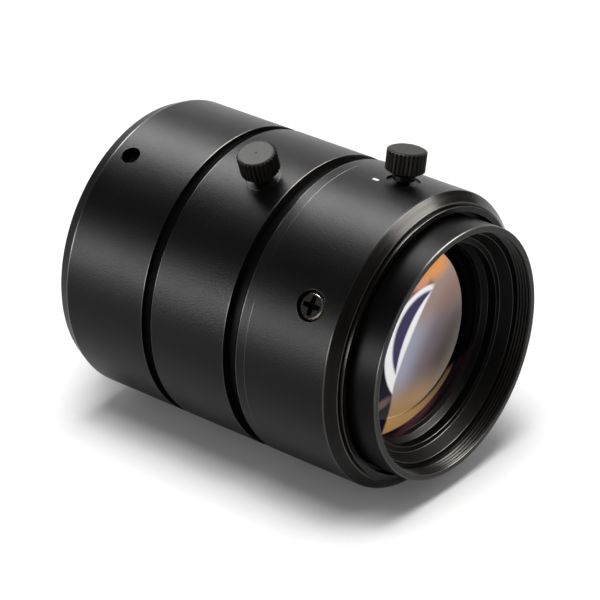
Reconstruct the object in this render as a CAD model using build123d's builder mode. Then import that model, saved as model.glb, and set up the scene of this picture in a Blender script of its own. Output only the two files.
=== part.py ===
"""C-mount machine vision lens with two lockable control rings, in millimetres.

The optical axis is X, with the front glass towards +X, and +Z is up. The origin is the
centre of the mounting flange's seat, the plane that stops against the camera. Angles run
round the axis from +Y through straight up. The iris is drawn fully open and the focus at
infinity, with both lock screws backed off.
"""

import os
from math import asin, copysign, cos, degrees, radians, sin, sqrt

from build123d import *

# Outer body: every outer ring is turned to one diameter
body_radius = 22.0
flange_thickness = 1.5
rear_barrel_length = 16.3
rear_bevel_depth = 0.9
rear_bevel_length = 2.0
groove_1_width = 1.75
groove_1_depth = 0.6
iris_ring_length = 13.3
groove_2_width = 1.75
groove_2_depth = 1.1
focus_band_width = 2.15
focus_band_bevel = 0.6
focus_sleeve_length = 15.3
focus_sleeve_bevel = 1.4
sleeve_front_wall = 1.4
front_lip_height = 0.55
front_lip_step = 0.4
front_lip_wall = 0.84
front_rim_gap = 0.66
front_rim_stand = 4.95
edge_break = 0.25

# Clearances: turned fits that run, parts fixed in one another, end play, milled windows,
# and how far a hole's tool starts and ends outside the wall
running_fit = 0.05
fixed_fit = 0.02
end_play = 0.05
end_gap = 0.15
window_gap = 0.3
cut_over = 1.0

# Camera side: 1 inch, 32 threads per inch, with its clamped mounting ring
mount_thread_radius = 12.7
mount_thread_length = 4.0
mount_wall = 1.4
flange_width = 2.7
mount_spigot_step = 1.5
mount_spigot_length = 6.0
clamp_screw_setback = 4.8
clamp_screw_angle = 118.9
clamp_screw_count = 3
clamp_screw_radius = 1.45
clamp_screw_length = 3.2
clamp_socket_across = 1.5
clamp_socket_depth = 1.3

# Walls of the rings and barrels, from the outside in
iris_ring_wall = 3.05
main_barrel_wall = 3.25
main_barrel_setback = 1.7
lens_barrel_wall = 0.7
lens_barrel_setback = 0.4
focus_sleeve_wall = 2.2
helicoid_wall = 1.78
focus_journal_step = 0.95
focus_shoulder_width = 3.4
focus_retainer_width = 1.7
guide_pin_radius = 0.8
guide_pin_setback = 1.6
guide_pin_angle = 0.0

# Focus: the sleeve and band turn in place and drive the keyed lens barrel along X
focus_travel = 4.0
helicoid_rear_gap = 1.2

# Sleeve screws, cross recessed, sunk in counterbores
sleeve_screw_setback = 9.05
sleeve_screw_angle = 147.7
sleeve_screw_count = 3
sleeve_screw_head_radius = 1.95
sleeve_screw_head_height = 1.15
sleeve_screw_head_bevel = 0.3
sleeve_screw_shank_radius = 0.97
sleeve_screw_length = 2.1
sleeve_screw_slack = 0.1
counterbore_gap = 0.35
counterbore_depth = 1.6
recess_wing_length = 2.8
recess_wing_width = 0.6
recess_depth = 0.8

# Lock screws: knurled thumb screws, each on a soft tip pad
iris_lock_setback = 8.15
iris_lock_angle = 108.1
focus_lock_setback = 7.65
focus_lock_angle = 80.4
lock_thread_radius = 0.97
lock_thread_fit = 0.03
lock_thread_pitch = 0.4
lock_tighten_turn = 270.0
lock_head_radius = 2.85
lock_knurl_height = 3.0
lock_head_taper = 0.8
lock_head_bevel = 0.2
lock_neck_radius = 1.58
lock_neck_length = 0.65
lock_knurl_count = 28
lock_knurl_depth = 0.24
lock_seat_radius = 2.5
lock_seat_depth = 0.3
lock_pad_length = 0.8
lock_neck_gap = 0.15
lock_tip_gap = 0.02

# Iris: blades on pivots in the lens barrel, swung by slots in a turning cam ring
blade_count = 5
iris_turn = 55.0
blade_ratio = 0.53
blade_thickness = 0.06
blade_pitch = 0.1
blade_first_angle = 20.0
blade_pivot_inset = 2.0
blade_pivot_rim = 0.9
blade_width = 4.6
blade_arc_start = 10.0
blade_arc_end = 110.0
blade_lever_length = 2.0
blade_lever_back = 10.0
blade_lobe_radius = 0.75
blade_pin_radius = 0.35
blade_pin_fit = 0.04
blade_pin_depth = 0.6
iris_setback = 9.65
iris_overlap = 0.2
iris_wall_thickness = 1.2
cam_ring_thickness = 3.0
cam_ring_wall = 4.25
cam_slot_depth = 0.9
drive_pin_radius = 0.8
drive_pin_angle = -90.0
drive_pin_reach = 1.5
drive_pin_end_gap = 0.2

# Front barrel and the glass in front of the iris; the filter thread is M35.5 x 0.5
front_rim_wall = 0.95
filter_thread_length = 2.5
retainer_ring_width = 3.9
retainer_ring_step = 0.55
retainer_mouth_wall = 0.35
retainer_cone_width = 0.95
retainer_ledge_width = 0.85
retainer_step_depth = 1.7
retainer_foot_width = 0.65
retainer_cone_depth = 3.1
front_lens_inset = 1.4
front_lens_edge = 4.0
front_lens_curve = 34.0
spacer_wall = 0.9
front_spacer_length = 3.2
second_lens_inset = 2.6
second_lens_edge = 4.5
second_lens_curve = 20.0
second_lens_rim = 3.4

# Rear cell and the glass behind the iris
rear_cell_side_wall = 3.06
rear_cell_front_wall = 1.2
third_lens_inset = 1.2
third_lens_edge = 3.6
third_lens_curve = 20.0
third_lens_rim = 2.2
rear_lens_edge = 2.6
rear_lens_curve = 36.0
rear_retainer_width = 1.4
rear_retainer_wall = 1.4

# Radii, worked out from the body and the mounting thread through the walls and fits
mount_bore_radius = mount_thread_radius - mount_wall
flange_radius = mount_thread_radius + flange_width
mount_spigot_radius = flange_radius + mount_spigot_step
clamp_screw_tip = mount_spigot_radius + fixed_fit
iris_bore_radius = body_radius - iris_ring_wall
main_barrel_radius = iris_bore_radius - running_fit
main_barrel_bore_radius = main_barrel_radius - main_barrel_wall
lens_barrel_radius = main_barrel_bore_radius - running_fit
lens_barrel_bore_radius = lens_barrel_radius - lens_barrel_wall
sleeve_bore_radius = body_radius - focus_sleeve_wall
helicoid_body_radius = sleeve_bore_radius - fixed_fit
helicoid_bore_radius = helicoid_body_radius - helicoid_wall
helicoid_radius = helicoid_bore_radius - running_fit
focus_journal_radius = helicoid_radius - focus_journal_step
counterbore_radius = sleeve_screw_head_radius + counterbore_gap
counterbore_floor = body_radius - counterbore_depth
front_lip_radius = body_radius - focus_sleeve_bevel - front_lip_step
front_lip_bore_radius = front_lip_radius - front_lip_wall
front_rim_radius = front_lip_bore_radius - front_rim_gap
filter_thread_radius = front_rim_radius - front_rim_wall
retainer_ring_radius = filter_thread_radius - retainer_ring_step
retainer_mouth_radius = retainer_ring_radius - retainer_mouth_wall
retainer_step_radius = retainer_mouth_radius - retainer_cone_width
retainer_inner_radius = retainer_step_radius - retainer_ledge_width
retainer_clear_radius = retainer_inner_radius - retainer_foot_width
front_lens_radius = retainer_ring_radius - front_lens_inset
second_lens_radius = front_lens_radius - second_lens_inset
second_lens_clear = second_lens_radius - second_lens_rim
blade_pivot_radius = lens_barrel_bore_radius - blade_pivot_inset
blade_outer_radius = blade_pivot_radius - blade_pivot_rim
blade_inner_radius = blade_outer_radius - blade_width
iris_opening_radius = blade_inner_radius - iris_overlap
cam_ring_radius = lens_barrel_bore_radius - running_fit
cam_ring_bore_radius = cam_ring_radius - cam_ring_wall
rear_cell_radius = lens_barrel_bore_radius - fixed_fit
rear_lens_radius = rear_cell_radius - rear_cell_side_wall - fixed_fit
rear_retainer_bore_radius = rear_lens_radius - rear_retainer_wall
third_lens_radius = rear_lens_radius - third_lens_inset
rear_cell_opening_radius = third_lens_radius - third_lens_rim

# Stations along the axis, worked out from the lengths
clamp_screw_station = flange_thickness + clamp_screw_setback
main_barrel_rear = flange_thickness + mount_spigot_length + main_barrel_setback
lens_barrel_rear = main_barrel_rear + lens_barrel_setback
groove_1_rear = flange_thickness + rear_barrel_length
guide_pin_station = groove_1_rear - guide_pin_setback
iris_ring_rear = groove_1_rear + groove_1_width
iris_lock_station = iris_ring_rear + iris_lock_setback
iris_ring_front = iris_ring_rear + iris_ring_length
band_rear = iris_ring_front + groove_2_width
sleeve_rear = band_rear + focus_band_width
focus_lock_station = sleeve_rear + focus_lock_setback
sleeve_screw_station = sleeve_rear + sleeve_screw_setback
sleeve_front = sleeve_rear + focus_sleeve_length
lip_front = sleeve_front + front_lip_height
rim_front = sleeve_front + front_rim_stand
shoulder_front = band_rear + focus_shoulder_width
retainer_rear = shoulder_front + end_play
journal_front = retainer_rear + focus_retainer_width
helicoid_front = sleeve_front - sleeve_front_wall
barrel_shoulder = journal_front + helicoid_rear_gap
retainer_front = rim_front - filter_thread_length
front_seat = retainer_front - retainer_ring_width
front_lens_seat = front_seat - front_lens_edge
second_lens_front = front_lens_seat - front_spacer_length
second_lens_seat = second_lens_front - second_lens_edge
iris_station = iris_ring_rear + iris_setback
cam_ring_front = iris_station - blade_count * blade_pitch
cam_ring_rear = cam_ring_front - cam_ring_thickness
drive_pin_station = (cam_ring_front - cam_slot_depth + cam_ring_rear) / 2
rear_cell_front = cam_ring_rear - end_play
third_lens_front = rear_cell_front - rear_cell_front_wall
third_lens_rear = third_lens_front - third_lens_edge
rear_lens_rear = lens_barrel_rear + rear_retainer_width
rear_lens_front = rear_lens_rear + rear_lens_edge
lock_backed_off = lock_thread_pitch * lock_tighten_turn / 360 + lock_tip_gap


def turn(*corners):
    """Turns a closed half section about the optical axis, from (station, radius) corners."""
    with BuildSketch(Plane.XZ) as half:
        with BuildLine():
            Polyline(*corners, close=True)
        make_face()
    revolve(half.sketch, axis=Axis.X)


def polar_direction(angle):
    """The way that a radius of the optical axis points."""
    return Vector(0, cos(radians(angle)), sin(radians(angle)))


def radial_plane(station, angle, radius):
    """A plane square to a radius of the optical axis, with its own x along the axis."""
    outward = polar_direction(angle)
    return Plane(Vector(station, 0, 0) + outward * radius, x_dir=(1, 0, 0), z_dir=outward)


def axial_plane(station):
    """A plane square to the optical axis that faces the front."""
    return Plane((station, 0, 0), x_dir=(0, 1, 0), z_dir=(1, 0, 0))


def polar(radius, angle):
    """A sketch point from its radius and angle."""
    return Vector(radius * cos(radians(angle)), radius * sin(radians(angle)))


def spaced(count, first):
    """Angles evenly spaced round the axis."""
    return [first + 360 * index / count for index in range(count)]


def bulge(curve, radius):
    """How far a spherical face of this curve stands out at its pole, negative if hollow."""
    return copysign(abs(curve) - sqrt(curve**2 - radius**2), curve)


def radial_rod(station, angle, radius, inner, outer, mode=Mode.ADD):
    """A round rod or hole along a radius, between two distances from the axis."""
    with BuildSketch(radial_plane(station, angle, inner)) as end:
        Circle(radius)
    extrude(end.sketch, amount=outer - inner, mode=mode)


def drive_pin_window(wall_bore, wall_radius, rear, front):
    """Cuts the window through a tube wall in which the iris drive pin swings."""
    margin = degrees(asin((drive_pin_radius + window_gap) / wall_bore))
    start = drive_pin_angle - margin
    sweep = iris_turn + 2 * margin
    with BuildSketch(axial_plane(rear)) as window:
        with BuildLine():
            inner_arc = CenterArc((0, 0), wall_bore - running_fit, start, sweep)
            outer_arc = CenterArc((0, 0), wall_radius + running_fit, start, sweep)
            Line(inner_arc @ 0, outer_arc @ 0)
            Line(inner_arc @ 1, outer_arc @ 1)
        make_face()
    extrude(window.sketch, amount=front - rear, mode=Mode.SUBTRACT)


def lock_screw_hole(station, angle, wall_bore):
    """Cuts a lock screw's hole and the flat seat round it in an outer ring."""
    hole_radius = lock_thread_radius + lock_thread_fit
    outside = body_radius + cut_over
    radial_rod(station, angle, hole_radius, wall_bore - cut_over, outside, Mode.SUBTRACT)
    seat_floor = body_radius - lock_seat_depth
    radial_rod(station, angle, lock_seat_radius, seat_floor, outside, Mode.SUBTRACT)


def lens(flat_face, rim, radius, clear, curve):
    """Turns a lens, flat on one side and spherical inside its rim, hollow if the curve is negative."""
    outward = copysign(1, rim - flat_face)
    pole = rim + outward * bulge(curve, clear)
    middle = pole - outward * bulge(curve, clear / 2)
    with BuildSketch(Plane.XZ) as half:
        with BuildLine():
            Polyline((pole, 0), (flat_face, 0), (flat_face, radius), (rim, radius), (rim, clear))
            ThreePointArc((rim, clear), (middle, clear / 2), (pole, 0))
        make_face()
    revolve(half.sketch, axis=Axis.X)


def spacer(rear, front, radius):
    """Turns a spacer tube that keeps two lenses apart."""
    turn((rear, radius - spacer_wall), (rear, radius), (front, radius), (front, radius - spacer_wall))


def screw_turn(station, angle, *corners, mode=Mode.ADD):
    """Turns a section about a radius, from (offset, distance from the optical axis) corners."""
    outward = polar_direction(angle)
    through = Plane((station, 0, 0), x_dir=(1, 0, 0), z_dir=Vector(1, 0, 0).cross(outward))
    with BuildSketch(through) as half:
        with BuildLine():
            Polyline(*corners, close=True)
        make_face()
    revolve(half.sketch, axis=Axis((station, 0, 0), outward), mode=mode)


def thumb_screw(station, angle, tip):
    """A knurled lock screw whose threaded end stands at a distance from the optical axis."""
    neck_end = body_radius + lock_neck_gap
    taper_start = neck_end + lock_neck_length
    knurl_start = taper_start + lock_head_taper
    head_top = knurl_start + lock_knurl_height
    tooth = 180 / lock_knurl_count
    crests = [polar(lock_head_radius, 2 * i * tooth) for i in range(lock_knurl_count)]
    roots = [
        polar(lock_head_radius - lock_knurl_depth, (2 * i + 1) * tooth)
        for i in range(lock_knurl_count)
    ]
    outline = [point for pair in zip(crests, roots) for point in pair]
    with BuildSketch(radial_plane(station, angle, taper_start)) as knurl:
        with BuildLine():
            Polyline(*outline, close=True)
        make_face()
    extrude(knurl.sketch, amount=head_top - taper_start)
    screw_turn(
        station, angle,
        (0, taper_start),
        (lock_neck_radius, taper_start),
        (lock_head_radius, knurl_start),
        (lock_head_radius, head_top - lock_head_bevel),
        (lock_head_radius - lock_knurl_depth - lock_head_bevel, head_top),
        (0, head_top),
        mode=Mode.INTERSECT,
    )
    radial_rod(station, angle, lock_neck_radius, neck_end, taper_start)
    radial_rod(station, angle, lock_thread_radius, tip, neck_end)


def blade_track(pivot_angle, fraction):
    """Where a blade's drive pin lies on the cam ring after a fraction of the iris turn."""
    swing = blade_ratio * iris_turn * fraction
    lever = polar(blade_lever_length, pivot_angle - 90 - blade_lever_back + swing)
    pin = polar(blade_pivot_radius, pivot_angle) + lever
    return pin.rotate(Axis.Z, -iris_turn * fraction)


def slot_along(*points):
    """The edge that a slot follows: a line through two points or an arc through three."""
    with BuildLine() as path:
        if len(points) == 2:
            Line(*points)
        else:
            ThreePointArc(*points)
    return path.edge()


def save(part, name):
    """Labels a finished piece and writes it."""
    part.label = name
    export_step(part, f"parts/{name}.step")


os.makedirs("parts", exist_ok=True)

# Mounting ring: thread, flange and the spigot that the clamp screws hold
with BuildPart() as c_mount_ring:
    turn(
        (-mount_thread_length, mount_bore_radius),
        (-mount_thread_length, mount_thread_radius),
        (0, mount_thread_radius),
        (0, flange_radius),
        (flange_thickness, flange_radius),
        (flange_thickness, mount_spigot_radius),
        (flange_thickness + mount_spigot_length, mount_spigot_radius),
        (flange_thickness + mount_spigot_length, mount_bore_radius),
    )
save(c_mount_ring.part, "c_mount_ring")

# Rear barrel: bevelled behind, stepped in front as the floor of the first groove
with BuildPart() as rear_barrel:
    turn(
        (flange_thickness, clamp_screw_tip),
        (flange_thickness, body_radius - rear_bevel_depth),
        (flange_thickness + rear_bevel_length, body_radius),
        (groove_1_rear - edge_break, body_radius),
        (groove_1_rear, body_radius - edge_break),
        (groove_1_rear, body_radius - groove_1_depth),
        (iris_ring_rear - end_play, body_radius - groove_1_depth),
        (iris_ring_rear - end_play, main_barrel_radius + fixed_fit),
        (main_barrel_rear, main_barrel_radius + fixed_fit),
        (main_barrel_rear, clamp_screw_tip),
    )
    for angle in spaced(clamp_screw_count, clamp_screw_angle):
        radial_rod(
            clamp_screw_station, angle, clamp_screw_radius + fixed_fit,
            mount_spigot_radius - cut_over, body_radius + cut_over, Mode.SUBTRACT,
        )
save(rear_barrel.part, "rear_barrel")

# Grub screws that clamp the mounting ring, sunk in their tapped holes
clamp_screw_top = clamp_screw_tip + clamp_screw_length
with BuildPart() as mount_clamp_screws:
    for angle in spaced(clamp_screw_count, clamp_screw_angle):
        radial_rod(clamp_screw_station, angle, clamp_screw_radius, clamp_screw_tip, clamp_screw_top)
        socket_floor = clamp_screw_top - clamp_socket_depth
        with BuildSketch(radial_plane(clamp_screw_station, angle, socket_floor)) as socket:
            RegularPolygon(clamp_socket_across / 2, 6, major_radius=False)
        extrude(socket.sketch, amount=clamp_socket_depth, mode=Mode.SUBTRACT)
save(mount_clamp_screws.part, "mount_clamp_screws")

# Main barrel: journals for both rings, and between them the floor of the second groove
with BuildPart() as main_barrel:
    turn(
        (main_barrel_rear, main_barrel_bore_radius),
        (main_barrel_rear, main_barrel_radius),
        (iris_ring_front + end_play, main_barrel_radius),
        (iris_ring_front + end_play, body_radius - groove_2_depth),
        (band_rear - end_play, body_radius - groove_2_depth),
        (band_rear - end_play, focus_journal_radius),
        (journal_front, focus_journal_radius),
        (journal_front, main_barrel_bore_radius),
    )
    drive_pin_window(
        main_barrel_bore_radius, main_barrel_radius,
        drive_pin_station - drive_pin_radius - window_gap,
        drive_pin_station + focus_travel + drive_pin_radius + window_gap,
    )
    radial_rod(
        guide_pin_station, guide_pin_angle, guide_pin_radius + fixed_fit,
        main_barrel_bore_radius - cut_over, main_barrel_radius + cut_over, Mode.SUBTRACT,
    )
save(main_barrel.part, "main_barrel")

# Guide pin: keys the lens barrel so that it slides and can't turn
with BuildPart() as guide_pin:
    radial_rod(
        guide_pin_station, guide_pin_angle, guide_pin_radius,
        lens_barrel_bore_radius + end_gap, main_barrel_radius,
    )
save(guide_pin.part, "guide_pin")

# Retainer that holds the focus ring on its journal
with BuildPart() as focus_retainer:
    turn(
        (retainer_rear, focus_journal_radius + fixed_fit),
        (retainer_rear, helicoid_bore_radius - end_gap),
        (journal_front, helicoid_bore_radius - end_gap),
        (journal_front, focus_journal_radius + fixed_fit),
    )
save(focus_retainer.part, "focus_retainer")

# Iris ring, with a groove milled inside for the drive pin
with BuildPart() as iris_ring:
    turn(
        (iris_ring_rear, iris_bore_radius),
        (iris_ring_rear, body_radius - edge_break),
        (iris_ring_rear + edge_break, body_radius),
        (iris_ring_front - edge_break, body_radius),
        (iris_ring_front, body_radius - edge_break),
        (iris_ring_front, iris_bore_radius),
    )
    lock_screw_hole(iris_lock_station, iris_lock_angle, iris_bore_radius)
    groove_middle = drive_pin_station + focus_travel / 2
    groove_start = iris_bore_radius - cut_over
    groove_floor = iris_bore_radius + drive_pin_reach + drive_pin_end_gap
    with BuildSketch(radial_plane(groove_middle, drive_pin_angle, groove_start)) as groove:
        SlotCenterToCenter(focus_travel + end_gap, 2 * (drive_pin_radius + running_fit))
    extrude(groove.sketch, amount=groove_floor - groove_start, mode=Mode.SUBTRACT)
save(iris_ring.part, "iris_ring")

# Iris lock: the pad slides in the ring's hole and the thumb screw turns behind it
iris_pad_tip = main_barrel_radius + lock_backed_off
with BuildPart() as iris_lock_pad:
    radial_rod(
        iris_lock_station, iris_lock_angle, lock_thread_radius,
        iris_pad_tip, iris_pad_tip + lock_pad_length,
    )
save(iris_lock_pad.part, "iris_lock_pad")

with BuildPart() as iris_lock_screw:
    thumb_screw(iris_lock_station, iris_lock_angle, iris_pad_tip + lock_pad_length + lock_tip_gap)
save(iris_lock_screw.part, "iris_lock_screw")

# Focus band and helicoid: one turned piece, held by its rear shoulder, threaded in front
with BuildPart() as focus_helicoid:
    turn(
        (band_rear, focus_journal_radius + running_fit),
        (band_rear, body_radius - focus_band_bevel),
        (band_rear + focus_band_bevel, body_radius),
        (sleeve_rear, body_radius),
        (sleeve_rear, helicoid_body_radius),
        (helicoid_front, helicoid_body_radius),
        (helicoid_front, helicoid_bore_radius),
        (shoulder_front, helicoid_bore_radius),
        (shoulder_front, focus_journal_radius + running_fit),
    )
    radial_rod(
        focus_lock_station, focus_lock_angle, lock_thread_radius + lock_thread_fit,
        helicoid_radius - cut_over, body_radius, Mode.SUBTRACT,
    )
    for angle in spaced(sleeve_screw_count, sleeve_screw_angle):
        radial_rod(
            sleeve_screw_station, angle, sleeve_screw_shank_radius + fixed_fit,
            helicoid_radius - cut_over, body_radius, Mode.SUBTRACT,
        )
save(focus_helicoid.part, "focus_helicoid")

# Focus sleeve: bevelled front, raised lip, counterbored for its screws
with BuildPart() as focus_sleeve:
    turn(
        (sleeve_rear, sleeve_bore_radius),
        (sleeve_rear, body_radius),
        (sleeve_front - focus_sleeve_bevel, body_radius),
        (sleeve_front, body_radius - focus_sleeve_bevel),
        (sleeve_front, front_lip_radius),
        (lip_front, front_lip_radius),
        (lip_front, front_lip_bore_radius),
        (helicoid_front, front_lip_bore_radius),
        (helicoid_front, sleeve_bore_radius),
    )
    lock_screw_hole(focus_lock_station, focus_lock_angle, helicoid_body_radius)
    for angle in spaced(sleeve_screw_count, sleeve_screw_angle):
        radial_rod(
            sleeve_screw_station, angle, counterbore_radius,
            counterbore_floor, body_radius + cut_over, Mode.SUBTRACT,
        )
        radial_rod(
            sleeve_screw_station, angle, sleeve_screw_shank_radius + sleeve_screw_slack,
            helicoid_body_radius - cut_over, body_radius, Mode.SUBTRACT,
        )
save(focus_sleeve.part, "focus_sleeve")

# Sleeve screws, with a crossed recess in each head
sleeve_screw_head_top = counterbore_floor + sleeve_screw_head_height
with BuildPart() as sleeve_screws:
    for angle in spaced(sleeve_screw_count, sleeve_screw_angle):
        screw_turn(
            sleeve_screw_station, angle,
            (0, counterbore_floor - sleeve_screw_length),
            (sleeve_screw_shank_radius, counterbore_floor - sleeve_screw_length),
            (sleeve_screw_shank_radius, counterbore_floor),
            (sleeve_screw_head_radius, counterbore_floor),
            (sleeve_screw_head_radius, sleeve_screw_head_top - sleeve_screw_head_bevel),
            (sleeve_screw_head_radius - sleeve_screw_head_bevel, sleeve_screw_head_top),
            (0, sleeve_screw_head_top),
        )
        recess_floor = sleeve_screw_head_top - recess_depth
        with BuildSketch(radial_plane(sleeve_screw_station, angle, recess_floor)) as recess:
            Rectangle(recess_wing_length, recess_wing_width)
            Rectangle(recess_wing_width, recess_wing_length)
        extrude(recess.sketch, amount=recess_depth, mode=Mode.SUBTRACT)
save(sleeve_screws.part, "sleeve_screws")

# Focus lock, with its pad on the lens barrel's thread
focus_pad_tip = helicoid_radius + lock_backed_off
with BuildPart() as focus_lock_pad:
    radial_rod(
        focus_lock_station, focus_lock_angle, lock_thread_radius,
        focus_pad_tip, focus_pad_tip + lock_pad_length,
    )
save(focus_lock_pad.part, "focus_lock_pad")

with BuildPart() as focus_lock_screw:
    thumb_screw(focus_lock_station, focus_lock_angle, focus_pad_tip + lock_pad_length + lock_tip_gap)
save(focus_lock_screw.part, "focus_lock_screw")

# Lens barrel: outer thread and rim in front, lens seats, the iris wall and a long sleeve
blade_angles = spaced(blade_count, blade_first_angle)
with BuildPart() as lens_barrel:
    turn(
        (lens_barrel_rear, lens_barrel_bore_radius),
        (lens_barrel_rear, lens_barrel_radius),
        (barrel_shoulder, lens_barrel_radius),
        (barrel_shoulder, helicoid_radius),
        (helicoid_front + end_gap, helicoid_radius),
        (helicoid_front + end_gap, front_rim_radius),
        (rim_front - edge_break, front_rim_radius),
        (rim_front, front_rim_radius - edge_break),
        (rim_front, filter_thread_radius),
        (retainer_front, filter_thread_radius),
        (retainer_front, retainer_ring_radius),
        (front_seat, retainer_ring_radius),
        (front_seat, front_lens_radius + fixed_fit),
        (front_lens_seat, front_lens_radius + fixed_fit),
        (front_lens_seat, second_lens_radius + fixed_fit),
        (second_lens_seat, second_lens_radius + fixed_fit),
        (second_lens_seat, second_lens_clear),
        (iris_station + iris_wall_thickness, iris_opening_radius),
        (iris_station, iris_opening_radius),
        (iris_station, lens_barrel_bore_radius),
    )
    drive_pin_window(
        lens_barrel_bore_radius, lens_barrel_radius,
        drive_pin_station - drive_pin_radius - window_gap,
        drive_pin_station + drive_pin_radius + window_gap,
    )
    keyway_middle = guide_pin_station - focus_travel / 2
    keyway_start = lens_barrel_bore_radius - cut_over
    keyway_depth = lens_barrel_radius + cut_over - keyway_start
    with BuildSketch(radial_plane(keyway_middle, guide_pin_angle, keyway_start)) as keyway:
        SlotCenterToCenter(focus_travel + window_gap, 2 * (guide_pin_radius + running_fit))
    extrude(keyway.sketch, amount=keyway_depth, mode=Mode.SUBTRACT)
    with BuildSketch(axial_plane(iris_station)) as pivots:
        for angle in blade_angles:
            with Locations(polar(blade_pivot_radius, angle)):
                Circle(blade_pin_radius + blade_pin_fit)
    extrude(pivots.sketch, amount=blade_pin_depth + blade_pitch, mode=Mode.SUBTRACT)
save(lens_barrel.part, "lens_barrel")

# Front retaining ring: coned and stepped inside, screwed in behind the filter thread
retainer_step = retainer_front - retainer_step_depth
with BuildPart() as front_retaining_ring:
    turn(
        (front_seat, retainer_clear_radius),
        (front_seat, retainer_ring_radius - fixed_fit),
        (retainer_front, retainer_ring_radius - fixed_fit),
        (retainer_front, retainer_mouth_radius),
        (retainer_step, retainer_step_radius),
        (retainer_step, retainer_inner_radius),
        (retainer_front - retainer_cone_depth, retainer_inner_radius),
    )
save(front_retaining_ring.part, "front_retaining_ring")

# Glass in front of the iris, a spacer apart
with BuildPart() as front_lens:
    lens(front_lens_seat, front_seat, front_lens_radius, retainer_clear_radius, front_lens_curve)
save(front_lens.part, "front_lens")

with BuildPart() as front_spacer:
    spacer(second_lens_front, front_lens_seat, second_lens_radius)
save(front_spacer.part, "front_spacer")

with BuildPart() as second_lens:
    lens(
        second_lens_front, second_lens_seat, second_lens_radius,
        second_lens_clear, -second_lens_curve,
    )
save(second_lens.part, "second_lens")

# Iris cam ring: a face of curved slots, with a radial hole for its drive pin
with BuildPart() as iris_cam_ring:
    turn(
        (cam_ring_rear, cam_ring_bore_radius),
        (cam_ring_rear, cam_ring_radius),
        (cam_ring_front, cam_ring_radius),
        (cam_ring_front, cam_ring_bore_radius),
    )
    with BuildSketch(axial_plane(cam_ring_front - cam_slot_depth)) as slots:
        for angle in blade_angles:
            track = slot_along(*[blade_track(angle, fraction) for fraction in (0, 0.5, 1)])
            SlotArc(track, 2 * (blade_pin_radius + blade_pin_fit))
    extrude(slots.sketch, amount=cam_slot_depth, mode=Mode.SUBTRACT)
    radial_rod(
        drive_pin_station, drive_pin_angle, drive_pin_radius + fixed_fit,
        cam_ring_bore_radius - cut_over, lens_barrel_bore_radius, Mode.SUBTRACT,
    )
save(iris_cam_ring.part, "iris_cam_ring")

with BuildPart() as iris_drive_pin:
    radial_rod(
        drive_pin_station, drive_pin_angle, drive_pin_radius,
        cam_ring_bore_radius + end_gap, main_barrel_radius + drive_pin_reach,
    )
save(iris_drive_pin.part, "iris_drive_pin")

# Iris blades, each a level above the last, with a pivot in front and a drive pin behind
blade_middle_radius = (blade_inner_radius + blade_outer_radius) / 2
for index, angle in enumerate(blade_angles):
    level = cam_ring_front + blade_pitch * index + (blade_pitch - blade_thickness) / 2
    pivot = polar(blade_pivot_radius, angle)
    drive = blade_track(angle, 0)
    with BuildPart() as blade:
        with BuildSketch(axial_plane(level)) as crescent:
            arc_ends = [angle + blade_arc_start, angle + blade_arc_end]
            arc_angles = [arc_ends[0], sum(arc_ends) / 2, arc_ends[1]]
            arc = slot_along(*[polar(blade_middle_radius, place) for place in arc_angles])
            SlotArc(arc, blade_outer_radius - blade_inner_radius)
            SlotArc(slot_along(drive, pivot), 2 * blade_lobe_radius)
            SlotArc(slot_along(pivot, arc @ 0), 2 * blade_lobe_radius)
        extrude(crescent.sketch, amount=blade_thickness)
        with BuildSketch(axial_plane(level)) as pivot_pin:
            with Locations(pivot):
                Circle(blade_pin_radius)
        extrude(pivot_pin.sketch, amount=iris_station + blade_pin_depth - level)
        with BuildSketch(axial_plane(cam_ring_front - blade_pin_depth)) as cam_pin:
            with Locations(drive):
                Circle(blade_pin_radius)
        extrude(cam_pin.sketch, amount=level + blade_thickness - cam_ring_front + blade_pin_depth)
    save(blade.part, f"iris_blade_{index + 1}")

# Rear cell: closes the iris from behind and seats the glass behind it, a spacer apart
with BuildPart() as rear_cell:
    turn(
        (lens_barrel_rear, rear_lens_radius + fixed_fit),
        (lens_barrel_rear, rear_cell_radius),
        (rear_cell_front, rear_cell_radius),
        (rear_cell_front, rear_cell_opening_radius),
        (third_lens_front, rear_cell_opening_radius),
        (third_lens_front, third_lens_radius + fixed_fit),
        (rear_lens_front, third_lens_radius + fixed_fit),
        (rear_lens_front, rear_lens_radius + fixed_fit),
    )
save(rear_cell.part, "rear_cell")

with BuildPart() as third_lens:
    lens(
        third_lens_rear, third_lens_front, third_lens_radius,
        rear_cell_opening_radius, -third_lens_curve,
    )
save(third_lens.part, "third_lens")

with BuildPart() as rear_spacer:
    spacer(rear_lens_front, third_lens_rear, third_lens_radius)
save(rear_spacer.part, "rear_spacer")

with BuildPart() as rear_lens:
    lens(
        rear_lens_front, rear_lens_rear, rear_lens_radius,
        rear_retainer_bore_radius, rear_lens_curve,
    )
save(rear_lens.part, "rear_lens")

with BuildPart() as rear_retaining_ring:
    turn(
        (lens_barrel_rear, rear_retainer_bore_radius),
        (lens_barrel_rear, rear_lens_radius),
        (rear_lens_rear, rear_lens_radius),
        (rear_lens_rear, rear_retainer_bore_radius),
    )
save(rear_retaining_ring.part, "rear_retaining_ring")
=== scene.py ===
"""Looks of a C-mount machine vision lens: turned rings, knurled lock screws, threads and coated glass.

Lengths are in millimetres until they reach a mesh. Angles run round the optical axis (X)
from +Y through straight up (+Z), as in the solids.
"""

from math import asin, copysign, cos, degrees, pi, radians, sin, sqrt

import bmesh
import bpy
from mathutils import Matrix, Vector


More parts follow.
